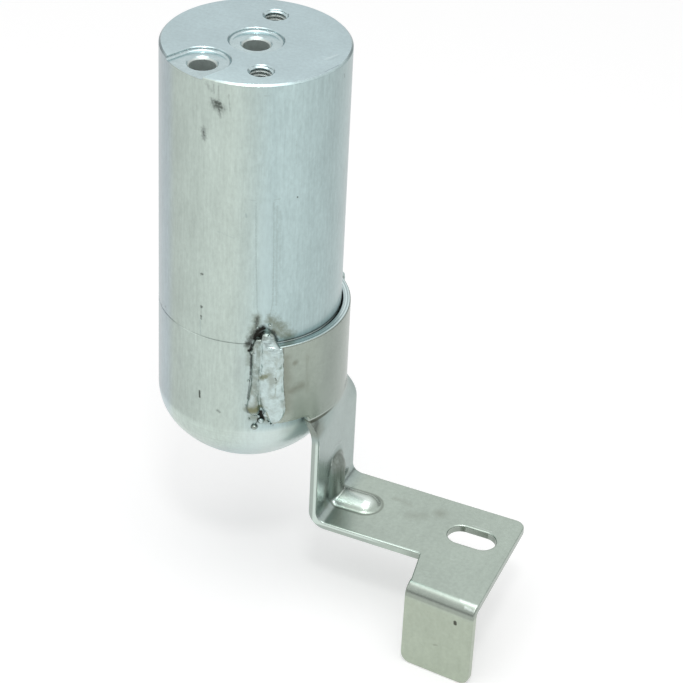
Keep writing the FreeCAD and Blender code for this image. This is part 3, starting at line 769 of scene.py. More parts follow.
for along in reaches:
    share = (along - foot_start) / (wing_line - foot_start)
    row = []
    for t in strip:
        start = at(foot_start, t + tab_middle, foot_top)
        row.append(pressed(start.lerp(on_foot(wing_line, t), share), at(0, 0, 1)))
    rows.append(row)

hinge_end = ear_hinge + ear_along * ear_width
far_start = on_foot(foot_end, tab_half - foot_corner)
far_line = at(hinge_end.x, hinge_end.y, foot_top) - far_start
inward = at(far_line.y, -far_line.x).normalized() * edge_round


def far_edge(t):
    """Return the point of the foot's far edge, rounding left out, at a strip position."""
    low = 0.0
    high = 1.4
    for step in range(40):
        share = (low + high) / 2
        point = far_start - far_line * 0.2 + far_line * share + inward
        across = (Matrix.Rotation(foot_turn, 3, "Z") @ (point - at(saddle_radius, tab_middle))).y
        low, high = (share, high) if across > t else (low, share)
    return point


top_end = far_edge(inner_half)
low_end = far_edge(-inner_half)
shares = [near_corner * k / 4 for k in range(5)]
shares += between(near_corner, far_corner, 8) + between(far_corner, 1, 4)


def on_wing(share, t):
    """Return a point of the foot's wide end, from its inner line (0) to its far edge (1)."""
    top = on_foot(wing_line, inner_half).lerp(top_end, share)
    low = on_foot(wing_line, -inner_half).lerp(low_end, share)
    return low.lerp(top, (t + inner_half) / (2 * inner_half))


for share in shares:
    row = []
    for t in strip:
        p, q = corner_turned((share - far_corner) / near_corner, (t - inner_side) / block)
        row.append(on_wing(far_corner + near_corner * p, inner_side + block * q))
    rows.append(row)
lay(rows)

rows = []
flat_width = ear_width - 2 * edge_round
starts = [ear_hinge + ear_along * (edge_round + flat_width * share) for share in shares]
for k in range(7):
    rows.append([on_wing(share, -inner_half).lerp(at(start.x, start.y, foot_top), k / 6)
                 for share, start in zip(shares, starts)])
for turn in between(0, 90, 12):
    out = ear_out * ear_bend * sin(radians(turn))
    down = foot_top - ear_bend + ear_bend * cos(radians(turn))
    rows.append([at(start.x, start.y, down) + out for start in starts])
corner_top = ear_bottom + ear_corner
corner_drop = ear_corner - edge_round
heights = between(foot_top - ear_bend, corner_top, 9)
heights += between(corner_top, ear_bottom + edge_round, 4)
for z in heights:
    row = []
    for share in shares:
        side = max(near_corner - share, share - far_corner) / near_corner
        p, q = corner_turned(side, (corner_top - z) / corner_drop)
        moved = near_corner * (1 - p) if share < 0.5 else far_corner + near_corner * p
        place = ear_hinge + ear_out * ear_bend + ear_along * (edge_round + flat_width * moved)
        row.append(at(place.x, place.y, corner_top - q * corner_drop))
    rows.append(row)
lay(rows)
bmesh.ops.remove_doubles(blank, verts=blank.verts, dist=0.01)
bmesh.ops.recalc_face_normals(blank, faces=blank.faces)
blank.faces.ensure_lookup_table()
if blank.faces[0].normal.x < 0:
    bmesh.ops.reverse_faces(blank, faces=blank.faces)
blank.normal_update()

# The face is given its thickness: rounded edge, side and back.

ways = {}
border = [edge for edge in blank.edges if edge.is_boundary]
for edge in border:
    face = edge.link_faces[0]
    away = (edge.verts[1].co - edge.verts[0].co).cross(face.normal).normalized()
    middle = (edge.verts[0].co + edge.verts[1].co) / 2
    if away.dot(middle - face.calc_center_median()) < 0:
        away = -away
    for corner in edge.verts:
        ways.setdefault(corner, []).append(away)
front = list(blank.faces)
rings = {}
back = {}
for corner in list(blank.verts):
    way = corner.normal
    if corner in ways:
        first, second = ways[corner]
        out = (first + second) / (1 + first.dot(second))
        out = (out - way * out.dot(way)) * edge_round
        ring = [corner]
        for turn in edge_turns:
            fall = edge_round * (1 - cos(radians(turn)))
            ring.append(blank.verts.new(corner.co + out * sin(radians(turn)) - way * fall))
        ring.append(blank.verts.new(corner.co + out - way * sheet))
        rings[corner] = ring
        back[corner] = ring[-1]
    else:
        back[corner] = blank.verts.new(corner.co - way * sheet)
for face in front:
    blank.faces.new([back[corner] for corner in reversed(face.verts)])
for edge in border:
    first, second = rings[edge.verts[0]], rings[edge.verts[1]]
    for k in range(5):
        blank.faces.new((first[k], second[k], second[k + 1], first[k + 1]))


def skinned(bm, name):
    """Turn built faces into a piece of this name."""
    bmesh.ops.recalc_face_normals(bm, faces=bm.faces)
    skin = bpy.data.meshes.new(name)
    bm.to_mesh(skin)
    bm.free()
    piece = bpy.data.objects.new(name, skin)
    bpy.context.scene.collection.objects.link(piece)
    return piece


def tube(name, rings):
    """Skin rings of points and close both ends."""
    bm = bmesh.new()
    layers = [[bm.verts.new(point) for point in ring] for ring in rings]
    for first, second in zip(layers, layers[1:]):
        for k in range(len(first)):
            bm.faces.new((first[k], first[k - 1], second[k - 1], second[k]))
    bm.faces.new(layers[0])
    bm.faces.new(layers[-1][::-1])
    return skinned(bm, name)


bracket_sheet = skinned(blank, "bracket_sheet")
move_mesh(bracket_sheet, Matrix.Scale(mm, 4))


def slot_outline(grow, z):
    """Return the slot's outline, grown by an amount, at a height."""
    points = []
    half = slot_length / 2 - slot_width / 2
    for step in range(slot_points):
        turn = tau * (step + 0.5) / slot_points
        reach = slot_width / 2 + grow
        shift = half if cos(turn) > 0 else -half
        place = on_foot(slot_middle + shift + reach * cos(turn), reach * sin(turn))
        points.append(at(place.x, place.y, z) * mm)
    return points


slot_rings = [slot_outline(0, foot_top - sheet - 1), slot_outline(0, foot_top - edge_round)]
for turn in edge_turns:
    grow = edge_round * (1 - cos(radians(turn)))
    slot_rings.append(slot_outline(grow, foot_top - edge_round * (1 - sin(radians(turn)))))
slot_rings.append(slot_outline(edge_round + 0.5, foot_top + 0.5))
cut(bracket_sheet, tube("slot_punch", slot_rings))
smooth(bracket_sheet, 40)


def on_band_face(azimuth, z):
    """Return the place on the saddle's outside."""
    return on_can(azimuth, z, saddle_radius)


def on_tab(across, z):
    """Return the place on the tab's outer face."""
    return at(saddle_radius, tab_middle + across, z)


def on_top(x, y):
    """Return the place on the foot's upper face."""
    return at(x, y, foot_top)


def on_ear(along, z, inside=0.0):
    """Return the place on the ear's outer face, or so far inside it."""
    return ear_hinge + ear_out * ear_bend + ear_along * along + at(0, 0, z) - ear_out * inside


finish, tree, shader, here, reach, aside, height = new_finish("rolled_sheet", 1.0, 0.27)
rolled = grain(1100.0, (0.35, 0.1, 0.1), 5.0)
mottled = grain(750.0, detail=6.0, rough=0.72)
cloudy = grain(60.0, detail=5.0, rough=0.65)
smoky = grain(230.0, detail=7.0, rough=0.68)
scored = grain(1500.0, (1, 1, 0.04), 3.0)
# Painted light and shade: one sheet gets lit and shaded copies of its colour. The foot and ear are
# lightest, the ear yellower, the tab and saddle band darker, and the band's outside darker still.
on_foot_side = times(fade(height, foot_top + 8, foot_top + 2), fade(reach, 33, 40))
on_ear_side = times(fade(height, foot_top - 2, foot_top - 6), fade(reach, 60, 66))
on_band = fade(sums("ADD", height, times(cloudy, 5 * mm)), flare_start + 1, flare_start + 4)
colour = blend(on_foot_side, (0.33, 0.40, 0.38), (0.43, 0.50, 0.445))
colour = blend(on_ear_side, colour, (0.42, 0.475, 0.39))
colour = blend(on_band, colour, (0.355, 0.405, 0.355))
colour = blend(times(on_band, fade(reach, 29, 32.6), 0.5), colour, (0.22, 0.26, 0.24))
colour = grained(colour, rolled, 0.96, 1.03)
colour = grained(colour, mottled, 0.92, 1.06)
colour = grained(colour, cloudy, 0.95, 1.04)

# Smudges: heated and brushed near the weld, and a few on the foot and the ear. At the tab's foot
# the same dark tone is painted shade and, by the bend, a painted dark reflection.
smudge_and_shade = (0.21, 0.225, 0.18)
colour = marked(colour, smudge_and_shade, smoky, [
    (-44.5, -97.0, -43.5, -117.0, 1.3, 2.2, 3.4, 0.75), (-38.7, -99.4, 0.9, 0.9, 1.6, 0.75),
    (-42.0, -110.2, -34.0, -109.0, 1.2, 1.4, 3.0, 0.7),
    (-31.0, -98.0, -30.0, -112.0, 0.3, 1.2, 3.2, 0.35)], on_band_face)
colour = marked(colour, smudge_and_shade, smoky, [
    (61.0, 1.5, 65.0, 3.4, 1.6, 2.4, 3.0, 0.26), (69.4, 7.0, 1.9, 2.2, 2.6, 0.42),
    (52.5, 8.0, 58.0, 7.0, 0.8, 1.2, 2.6, 0.25)], on_top)
# Painted shade low on the tab, and a painted dark reflection beside the bead where the tab turns
# into the bend.
colour = marked(colour, smudge_and_shade, smoky, [
    (-8.0, -155.0, -8.5, -162.0, 1.4, 1.6, 1.4, 0.6),
    (6.5, -160.0, 11.0, -161.5, 0.8, 1.4, 1.0, 0.5)], on_tab)
colour = marked(colour, smudge_and_shade, smoky, [
    (12.0, -184.4, 13.2, -184.0, 0.2, 0.3, 0.9, 0.5)], on_ear)

# The bead's flank on the tab gets a painted dark reflection, streaked where the press scored it.
# The crease round its base gets painted shade, and its crest on the foot and a spot at its top end
# on the tab get painted highlights.
flank = gap_to(at(saddle_radius + 1, tab_middle, -151.0), at(saddle_radius + 2, tab_middle, -160.0))
near_flank = fade(flank, 6.0, 3.4)
on_flank = sums("SUBTRACT", near_flank, times(near_flank, fade(height, -160.6, -162.6)))
flank_shade = blend(ramp(scored, (0.36, 0.0), (0.66, 1.0)), (0.19, 0.21, 0.18), (0.30, 0.34, 0.31))
colour = blend(times(on_flank, 0.8), colour, flank_shade)
bead_gap = sums("MINIMUM", gap_to(bead_elbow, bead_head), gap_to(bead_elbow, bead_toe))
# Painted shade in the crease round the bead's base.
outline = within(bead_gap, bead_round + 0.2, bead_round + 0.95, 0.25)
colour = blend(times(outline, 0.55), colour, (0.13, 0.15, 0.12))
crest = foot_top + bead_rise
# Painted highlights: a long one on the crest on the foot and a small glint at the bead's top end on
# the tab.
colour = marked(colour, (0.72, 0.80, 0.76), smoky, [
    (saddle_radius + 5.5, tab_middle - 1.8, crest, saddle_radius + 12.5, tab_middle - 1.6,
     crest - 0.3, 2.1, 1.4, 1.2, 0.95)], at, 3)
colour = marked(colour, (0.85, 0.92, 0.88), smoky, [
    (saddle_radius + 0.2, tab_middle - 3.5, -147.2, saddle_radius + 0.2, tab_middle - 4.3,
     -148.7, 0.35, 0.3, 0.4, 0.9)], at, 3)

# A dark seam beside the weld, a pit on the ear, painted shade across the ear bend, and painted
# highlights on the ear bend's top, the tab's edge and the slot's edge.
colour = marked(colour, (0.10, 0.11, 0.09), smoky, [
    (-45.9, -93.0, -45.5, -105.0, 0.12, 0.25, 0.5, 0.75),
    (-45.5, -105.0, -44.3, -111.5, 0.12, 0.25, 0.5, 0.65)], on_band_face)
colour = marked(colour, (0.07, 0.075, 0.06), smoky, [
    (18.9, -171.6, 19.0, -172.3, 0.6, 0.2, 0.6, 0.95)], on_ear)
# Painted shade across the ear bend.
ear_bent = times(within(height, foot_top - 4.4, foot_top - 0.55, 0.45), fade(reach, 64, 70), 0.45)
colour = blend(ear_bent, colour, (0.19, 0.205, 0.18))
# Painted highlights along the top of the ear bend, the tab's edge and the slot's edge.
shine = (0.68, 0.76, 0.72)
colour = marked(colour, shine, smoky, [
    (19.0, foot_top - 0.4, 3.0, 24.5, foot_top - 0.4, 3.0, 0.35, 0.5, 1.6, 0.8),
    (21.5, foot_top - 1.2, 1.4, 24.6, foot_top - 1.4, 1.2, 0.3, 0.4, 1.6, 0.7)], on_ear, 3)
colour = marked(colour, shine, smoky, [
    (0.75 - tab_half, -134.0, 0.75 - tab_half, -160.5, 0.16, 0.2, 0.3, 0.85)], on_tab)
colour = marked(colour, shine, smoky, [
    (slot_middle - 2.0, 5.9, slot_middle + 5.0, 5.4, 0.12, 0.15, 0.8, 0.6)], on_top)

# The cut edge of the tab and foot is dull, with a painted highlight on the strip where the die
# rounded it over.
cut_side = tab_middle - tab_half
on_cut = times(within(aside, cut_side - 0.4, cut_side + 0.2, 0.1), fade(height, -131, -134),
               fade(reach, 71.2, 70.3), 0.8)
rounded_strip_highlight = times(fade(reach, saddle_radius - 1.3, saddle_radius - 1.0),
                    fade(height, foot_top - 1.3, foot_top - 1.0))
colour = blend(on_cut, colour, blend(rounded_strip_highlight, (0.37, 0.42, 0.385), (0.64, 0.74, 0.68)))

# The sheared top edge is painted lighter, as lit from above, and lined along its length. The flare
# starts at a crease, painted as a dark line under a painted highlight, with painted shade on the
# flare's left side below it.
across_rim = node("CombineXYZ", [(0, from_axis())]).outputs[0]
lining = node("TexNoise", [("Vector", across_rim), ("Scale", 2200.0), ("Detail", 2.0)])
lining = ramp(lining.outputs["Fac"], (0.4, 0.0), (0.6, 1.0))
rim_shade = blend(lining, (0.33, 0.41, 0.42), (0.66, 0.78, 0.78))
colour = blend(fade(height, saddle_top - 0.25, saddle_top - 0.05), colour, rim_shade)
near_weld = times(fade(aside, -2, -9), fade(aside, -19, -17.5))
# Painted shade as a dark line at the crease, and a painted highlight just above it.
crease = within(height, -125.35, -124.55, 0.15)
colour = blend(times(crease, near_weld, 0.85), colour, (0.07, 0.08, 0.06))
lit = within(height, -124.4, -124.15, 0.1)
colour = blend(times(lit, near_weld, 0.4), colour, (0.70, 0.76, 0.70))
# Painted shade on the flare's left side below the crease.
flare_shade_side = fade(sums("ADD", aside, times(smoky, 5 * mm)), -5, -12.5)
shaded = times(within(height, -130.5, -124.9, 1.4), flare_shade_side, 0.55)
colour = blend(shaded, colour, (0.19, 0.20, 0.16))
blurred = fade(gap_to(at(saddle_radius + 2, tab_middle, -149.5)), 7, 3)
tree.links.new(blend(blurred, 0.27, 0.5), shader.inputs["Roughness"])
wired(colour, rolled, 0.004)
dressed(bracket_sheet, finish)
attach(bracket_sheet, "root")
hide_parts("bracket")

# Welds: aluminium filler, laid by hand down each end of the saddle in two passes side by side,
# a flat one on the can and a high one over the sheet's edge. Small balls of spatter stick round
# them. Only the front weld shows in the photograph, so the rear one is laid to the same plan.

ring_gap = 0.3
ring_points = 24
ripple_length = 0.95
edge_wander = 0.35
lumpiness = 0.16
pass_foot = 30.2
pass_sunk = 1.3
sheet_step = 2.9
# Each pass: height, left and right azimuth, rise. Spatter: azimuth, height, middle, radius.
can_pass = [
    (-89.9, -61.2, -58.4, 1.2), (-90.6, -62.2, -57.6, 1.7), (-92.9, -63.4, -57.3, 1.9),
    (-94.3, -63.7, -57.2, 1.9), (-94.9, -65.2, -57.2, 1.9), (-95.5, -63.6, -57.2, 1.9),
    (-99.2, -63.5, -57.2, 2.0), (-106.8, -63.6, -57.6, 1.9), (-113.1, -65.0, -58.0, 2.1),
    (-116.3, -66.2, -57.6, 2.2), (-118.3, -65.0, -57.8, 1.9), (-119.5, -62.5, -59.0, 1.1)]
sheet_pass = [
    (-87.6, -56.4, -52.6, 1.5), (-88.2, -57.8, -50.9, 2.2), (-89.4, -58.6, -49.9, 2.8),
    (-91.4, -58.8, -49.0, 3.1), (-92.3, -58.8, -48.0, 3.0), (-93.2, -58.9, -46.6, 2.9),
    (-94.5, -59.0, -46.0, 2.8), (-98.0, -59.1, -45.9, 2.7), (-105.0, -59.3, -45.6, 2.7),
    (-109.8, -59.6, -45.0, 2.7), (-112.6, -59.3, -44.3, 2.9), (-114.6, -58.6, -44.0, 3.0),
    (-116.9, -56.8, -44.3, 3.0), (-118.6, -55.4, -45.3, 2.8), (-120.0, -54.3, -46.8, 2.4),
    (-121.1, -53.5, -48.4, 1.8), (-121.8, -52.8, -49.6, 1.1)]
spatter = [
    (-60.6, -86.0, 30.0, 0.4), (-53.0, -85.4, 30.0, 0.55), (-62.2, -84.2, 30.0, 0.35),
    (-53.9, -88.0, 32.3, 0.5), (-47.6, -92.6, 33.6, 0.5), (-54.6, -118.6, 31.4, 0.9),
    (-57.0, -121.9, 30.0, 0.95), (-60.9, -124.4, 30.0, 0.95), (-50.1, -124.0, 30.2, 0.5),
    (-51.6, -123.0, 30.2, 0.4), (-48.9, -123.3, 30.6, 0.35), (-65.2, -106.4, 30.0, 0.4),
    (-58.6, -120.2, 30.0, 0.6), (-64.3, -121.4, 30.0, 0.4)]


def along_pass(plan, z):
    """Return a pass's two edges and its rise at a height, read between the plan's points."""
    for upper, lower in zip(plan, plan[1:]):
        if lower[0] <= z <= upper[0]:
            share = (upper[0] - z) / (upper[0] - lower[0])
            return [upper[k] + (lower[k] - upper[k]) * share for k in (1, 2, 3)]
    return plan[-1][1:]


def laid_pass(name, plan, on_edge, ripple, seed, azimuth_of):
    """Skin one pass with rings of points, rippled and a little uneven, and close its ends."""
    rings = []
    top, low = plan[0][0], plan[-1][0]
    rows = int((top - low) / ring_gap)
    for row in range(rows + 1):
        z = top + (low - top) * row / rows
        left, right, rise = along_pass(plan, z)
        left += edge_wander * noise.noise(at(seed, 3.1, z * 0.9))
        right += edge_wander * noise.noise(at(seed, 7.7, z * 0.9))
        on_sheet = min(1.0, max(0.0, (-90.4 - z) / 2.6)) * sheet_step if on_edge else 0.0
        near_top = min(1.0, max(0.05, (z + 97.0) / 5.0))
        shiver = noise.noise(at(seed, 0, z)) * 4
        ring = []
        for k in range(ring_points):
            turn = 2 * pi * k / ring_points
            across = cos(turn)
            lift = copysign(abs(sin(turn)) ** 0.8, sin(turn))
            wave = sin((z + 0.9 * across * across) * 2 * pi / ripple_length + shiver)
            lump = noise.noise(at(seed + across * 1.6, z * 0.4, 1.7))
            height = rise * (1 + ripple * near_top * wave * 0.6 + lumpiness * lump)
            height = height if lift > 0 else pass_sunk
            radius = pass_foot + on_sheet * (1 + across) / 2 + height * lift
            azimuth = azimuth_of((left + right) / 2 + (right - left) / 2 * across)
            ring.append(on_can(azimuth, z, radius))
        rings.append(ring)
    return tube(name, rings)


def ball(name, azimuth, z, middle, radius):
    """Add one ball of spatter, half sunk."""
    bpy.ops.object.select_all(action="DESELECT")
    edit.primitive_ico_sphere_add(subdivisions=3, radius=radius)
    drop = bpy.context.object
    drop.name = name
    move_mesh(drop, Matrix.Translation(on_can(azimuth, z, middle + radius * 0.4)))
    return drop


def weld(name, seed, mirrored):
    """Lay both passes and the spatter, and melt them into one piece."""
    middle_line = 1.04
    side = -1 if mirrored else 1

    def azimuth_of(value):
        return middle_line + (value - middle_line) * side

    parts = [laid_pass(name, can_pass, False, 0.07, seed, azimuth_of),
             laid_pass(name, sheet_pass, True, 0.08, seed + 5.3, azimuth_of)]
    parts += [ball(name, azimuth_of(azimuth), *rest) for azimuth, *rest in spatter]
    bpy.ops.object.select_all(action="DESELECT")
    for part in parts:
        part.select_set(True)
    piece = parts[0]
    bpy.context.view_layer.objects.active = piece
    bpy.ops.object.join()
    worked(piece, "REMESH", mode="VOXEL", voxel_size=0.2, use_smooth_shade=True)
    worked(piece, "SMOOTH", factor=0.5, iterations=2)
    move_mesh(piece, Matrix.Scale(mm, 4))
    piece.name = piece.data.name = name
    smooth(piece, 180)
    return piece


front_weld = weld("front_weld", 7.0, False)
rear_weld = weld("rear_weld", 23.0, True)

finish, tree, shader, here, reach, aside, height = new_finish("laid_weld", 1.0, 0.3)
rough_skin = grain(500.0, detail=5.0)
blotchy = grain(180.0, detail=6.0, rough=0.65)
ragged = grain(700.0, rough=0.7)
patchy = grain(850.0, detail=3.0)
on_left = fade(toward(31.5), 0.2, -0.5)
colour = blend(on_left, (0.52, 0.63, 0.62), (0.29, 0.35, 0.32))
paler = times(on_left, ramp(patchy, (0.44, 0.0), (0.62, 0.75)))
colour = blend(paler, colour, (0.45, 0.55, 0.53))
colour = grained(colour, ragged, 0.86, 1.12)
colour = blend(ramp(blotchy, (0.46, 0.0), (0.62, 0.7)), colour, (0.29, 0.325, 0.28))

# Pale places, a greenish side, brown stains, fine cracks and pits, soot at the ends, and painted
# shade down the valley between the two passes.
colour = marked(colour, (0.60, 0.72, 0.72), ragged, [
    (-62.6, -111.5, 31.8, -63.4, -114.3, 31.8, 0.7, 0.8, 1.2, 0.75),
    (-61.5, -93, 32, -61.8, -98, 32, 0.2, 0.4, 1.4, 0.6)], parts=3)
colour = marked(colour, (0.36, 0.40, 0.31), ragged, [
    (-47.9, -94.5, 34, -47.6, -104, 34, 0.5, 0.7, 1.4, 0.5),
    (-50.4, -93.5, 34.6, -50.6, -117, 34.4, 0.1, 0.4, 0.6, 0.45)], parts=3)
colour = marked(colour, (0.20, 0.215, 0.135), ragged, [
    (-63.9, -116.9, 31.7, -59.3, -116, 32, 1.2, 0.8, 1.6, 1.0),
    (-57.8, -104.2, 31.6, -55.2, -101.7, 34.6, 0.8, 0.6, 1.4, 0.85),
    (-50, -99.4, 34.5, -47.4, -98.8, 34, 0.3, 0.5, 1.2, 0.5),
    (-64.2, -117, 31.3, -58.7, -115.5, 31.8, 0.8, 0.6, 1.2, 0.95),
    (-63, -114, 31.8, -64, -118, 31.3, 0.4, 0.6, 1.2, 0.5),
    (-49, -103, 34.5, -49.5, -105.5, 34.4, 0.3, 0.4, 1.0, 0.5)], parts=3)
colour = marked(colour, (0.09, 0.10, 0.08), ragged, [
    (-51.5, -102.6, 34.7, -50.1, -104.7, 34.7, 0.16, 0.14, 0.5, 0.95),
    (-59.4, -104.9, 31.8, -59.2, -105.3, 31.8, 0.14, 0.14, 0.5, 0.9),
    (-50.9, -102.8, 34.5, -49.8, -104.1, 34.5, 0.13, 0.12, 0.5, 0.85),
    (-51.2, -104.8, 34.5, -49.9, -104.8, 34.5, 0.12, 0.12, 0.5, 0.8),
    (-53.5, -92, 34.2, -51, -92.6, 34.2, 0.1, 0.12, 0.5, 0.6),
    (-55.4, -110.5, 34.4, -51, -112.3, 34.8, 0.08, 0.12, 0.4, 0.6),
    (-50.7, -107, 34.6, -50.6, -118, 34, 0.06, 0.14, 0.4, 0.45)], parts=3)
colour = marked(colour, (0.02, 0.02, 0.018), ragged, [
    (-58.2, -89, 31, -58.4, -92.2, 31, 0.4, 0.4, 1.2, 0.9),
    (-62.2, -89.6, 30.6, -59, -89.4, 31, 0.3, 0.4, 1.2, 0.8),
    (-51, -88, 31, -49.2, -91.5, 31, 0.2, 0.3, 0.8, 0.7),
    (-58.3, -117.6, 31, -56.6, -119.4, 31, 0.5, 0.4, 1.2, 0.95),
    # These last two rows paint shade down the valley between the two passes.
    (-58, -89, 31.5, -57.9, -99.4, 31.5, 0.12, 0.18, 0.4, 0.75),
    (-57.9, -99.4, 31.5, -58.9, -115, 31.5, 0.12, 0.18, 0.4, 0.75)], parts=3)
wired(colour, rough_skin, 0.06)
for piece, replaced in ((front_weld, "weld_front"), (rear_weld, "weld_rear")):
    dressed(piece, finish)
    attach(piece, "root")
    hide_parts(replaced)

# Desiccant bag: needled felt, sewn to a flat pouch of beads and wrapped round the suction tube.
# Two ties hold it, so it bulges above, between and below them. It is inside the sealed can.

bag_low, bag_high = (corner.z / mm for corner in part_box("desiccant_bag"))
bag_inner = 9.3
bag_outer = 20.5
bag_bulge = 0.7
bag_pinch = 0.6
bag_turn = 4.5
bag_hem = 1.5
bag_opening = 30.0
bag_steps = 110
bag_end_steps = 9
bag_fold = 0.35
bag_pucker = 0.18
tie_reach = 3.2
tie_heights = [bag_low + (bag_high - bag_low) * share for share in (0.27, 0.73)]


def bag_outline():
    """Return the pouch's closed section as places in the XZ plane, in millimetres."""
    corners = [(bag_inner + bag_hem, bag_low + bag_hem, bag_hem, 180),
               (bag_outer - bag_turn, bag_low + bag_turn, bag_turn, 270),
               (bag_outer - bag_turn, bag_high - bag_turn, bag_turn, 0),
               (bag_inner + bag_hem, bag_high - bag_hem, bag_hem, 90)]
    arcs = [rounded(spot(x, z), radius, start, start + 90, 6) for x, z, radius, start in corners]
    points = []
    for arc, after in zip(arcs, arcs[1:] + arcs[:1]):
        gap = after[0] - arc[-1]
        steps = max(1, round(gap.length / 1.2))
        points += arc + [arc[-1] + gap * step / steps for step in range(1, steps)]
    return points


rings = []
middle = spot((bag_inner + bag_outer) / 2, (bag_low + bag_high) / 2)
for step in range(bag_steps + 1):
    azimuth = bag_opening / 2 + (360 - bag_opening) * step / bag_steps
    turn = radians(azimuth)
    from_end = min(step, bag_steps - step) / bag_end_steps
    full = sqrt(1 - (1 - min(1.0, from_end)) ** 2) if from_end > 0 else 0.0
    ring = []
    for place in bag_outline():
        near_tie = max(exp(-((place.z - level) / tie_reach) ** 2) for level in tie_heights)
        outside = max(0.0, min(1.0, (place.x - middle.x) / (bag_outer - middle.x)))
        fold = noise.noise(at(cos(turn) * 5, sin(turn) * 5, place.z * 0.12))
        pucker = sin(degrees(turn) * 0.5 + 4 * fold) * near_tie * bag_pucker
        bulge = bag_bulge * (1 - near_tie) - bag_pinch * near_tie
        place.x += outside * (bulge + bag_fold * fold + pucker)
        place.x = middle.x + (place.x - middle.x) * (0.25 + 0.75 * full)
        place.z = middle.z + (place.z - middle.z) * (0.96 + 0.04 * full)
        ring.append(on_can(azimuth, place.z, place.x))
    rings.append(ring)
felt_bag = tube("felt_bag", rings)
move_mesh(felt_bag, Matrix.Scale(mm, 4))
smooth(felt_bag, 60)

finish, tree, shader, here, reach, aside, height = new_finish("needled_felt", 0.0, 0.95)
fibres = grain(2600.0, (1, 1, 0.35), 6.0, 0.75)
tufts = grain(500.0, detail=5.0, rough=0.7)
colour = grained((0.80, 0.78, 0.71), fibres, 0.84, 1.06)
wired(grained(colour, tufts, 0.92, 1.04), fibres, 0.12)
dressed(felt_bag, finish)
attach(felt_bag, "root")
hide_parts("desiccant_bag")

# Inner pieces: an extruded suction tube, a moulded tube, deflector and strainer body, a woven
# strainer mesh and two moulded ties. They keep their CAD shapes, and nobody sees them assembled.


def refinished(names, finish):
    """Give CAD nodes a finish in place of their plain one."""
    for name in names:
        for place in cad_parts[name].material_slots:
            place.material = finish


finish, tree, shader, here, reach, aside, height = new_finish("drawn_tube", 1.0, 0.3)
lines = grain(1500.0, (1, 1, 0.03), 5.0)
wired(grained((0.53, 0.56, 0.57), lines, 0.9, 1.05), lines, 0.005)
refinished(["inner_tube"], finish)

finish, tree, shader, here, reach, aside, height = new_finish("moulded_plastic", 0.0, 0.5)
flow = grain(140.0, (1, 1, 0.4), 5.0)
wired(grained((0.62, 0.60, 0.54), flow, 0.93, 1.04), grain(3000.0, detail=3.0), 0.01)
refinished(["outer_tube", "deflector", "strainer_housing"], finish)

finish, tree, shader, here, reach, aside, height = new_finish("woven_mesh", 1.0, 0.35)
around = sums("SINE", times(sums("ARCTAN2", aside, reach), 240.0))
weave = sums("MAXIMUM", around, sums("SINE", times(height, 24000.0)))
wired(tinted((0.40, 0.41, 0.42), ramp(weave, (0.0, 0.15), (0.8, 1.0))), weave, 0.05)
refinished(["strainer_mesh"], finish)

finish, tree, shader, here, reach, aside, height = new_finish("tie_plastic", 0.0, 0.45)
teeth = sums("SINE", times(sums("ARCTAN2", aside, reach), 150.0))
wired(grained((0.78, 0.78, 0.74), grain(300.0), 0.95, 1.03), teeth, 0.06)
refinished(["bag_ties"], finish)

# Floor and light: a plain pale floor, level with the ear's lowest edge, under a white sky that
# is darker low down, where the metal mirrors it. Three soft studio lamps light the part.


def seen_straight():
    """Return whether a ray is the camera's, and whether it is that or mirrored or let through."""
    path = node("LightPath")
    seen = sums("MAXIMUM", path.outputs["Is Camera Ray"], path.outputs["Is Glossy Ray"])
    return path.outputs["Is Camera Ray"], sums("MAXIMUM", seen, path.outputs["Is Transmission Ray"])


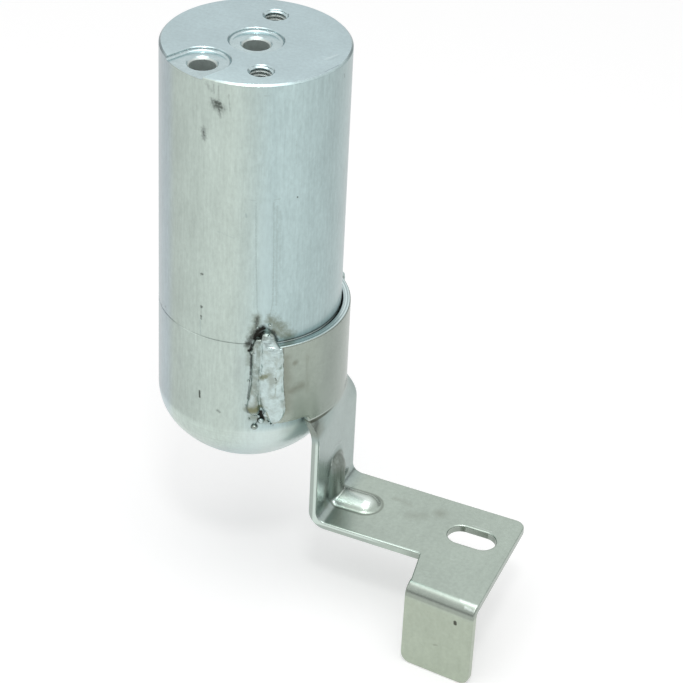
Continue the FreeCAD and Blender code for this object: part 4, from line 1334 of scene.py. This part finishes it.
bpy.ops.object.select_all(action="DESELECT")
edit.primitive_plane_add(size=30.0)
floor = bpy.context.object
floor.name = "floor"
move_mesh(floor, Matrix.Translation((0, 0, cad_box[0].z)))
finish, tree, shader, here, reach, aside, height = new_finish("pale_floor", 0.0, 0.9)
by_camera, seen = seen_straight()
tree.links.new(blend(seen, 0.82, 0.72), shader.inputs["Base Color"])
shader.inputs["Specular IOR Level"].default_value = 0.0
shader.inputs["Emission Color"].default_value = (1.0, 1.0, 1.0, 1.0)
tree.links.new(times(seen, 0.42), shader.inputs["Emission Strength"])
dressed(floor, finish)

world = bpy.data.worlds.new("studio")
bpy.context.scene.world = world
world.use_nodes = True
tree = world.node_tree
tree.nodes.clear()
by_camera, seen = seen_straight()
way = node("TexCoord").outputs["Generated"]
rise = node("SeparateXYZ", [(0, way)]).outputs["Z"]
dark_room = within(rise, 0.02, 0.27, 0.08, 1.0)
shown = sums("MAXIMUM", by_camera, sums("SUBTRACT", 1.0, times(dark_room, 0.65)))
strength = node("Mix", [("Factor", seen), ("A", 0.5), ("B", shown)]).outputs[0]
background = node("Background", [("Color", tone(1.0)), ("Strength", strength)])
node("OutputWorld", [("Surface", background.outputs[0])])


def softbox(name, place, target, size, power):
    """Add a square lamp that faces a point."""
    lamp = bpy.data.lights.new(name, "AREA")
    lamp.shape = "SQUARE"
    lamp.size = size
    lamp.energy = power
    holder = bpy.data.objects.new(name, lamp)
    bpy.context.scene.collection.objects.link(holder)
    aim = (Vector(target) - Vector(place)).to_track_quat("-Z", "Y")
    holder.matrix_world = Matrix.LocRotScale(Vector(place), aim, None)


softbox("overhead", (0.1, -0.2, 1.1), (0.03, 0, -0.1), 1.2, 6.0)
softbox("left_side", (-0.9, -0.7, 0.5), (0, 0, -0.1), 0.8, 0.8)
softbox("key", (0.317, -0.693, 1.174), (0.02, 0, -0.08), 0.2, 3.0)

# Camera: the photograph's viewing angle, from above the ear's side with a long lens. Its turn
# and place were fitted to the can, the foot and the ear in the photograph.

lens = bpy.data.cameras.new("camera")
lens.lens = 126.51
lens.sensor_width = 36.0
lens.clip_start = 0.01
lens.clip_end = 100.0
camera = bpy.data.objects.new("camera", lens)
bpy.context.scene.collection.objects.link(camera)
camera.matrix_world = Matrix((
    (0.91584, -0.25201, 0.31261, 0.27784),
    (0.39942, 0.49186, -0.77366, -0.60567),
    (0.04121, 0.83341, 0.55112, 0.33027),
    (0, 0, 0, 1)))
bpy.context.scene.camera = camera
bpy.context.scene.view_settings.view_transform = "Standard"
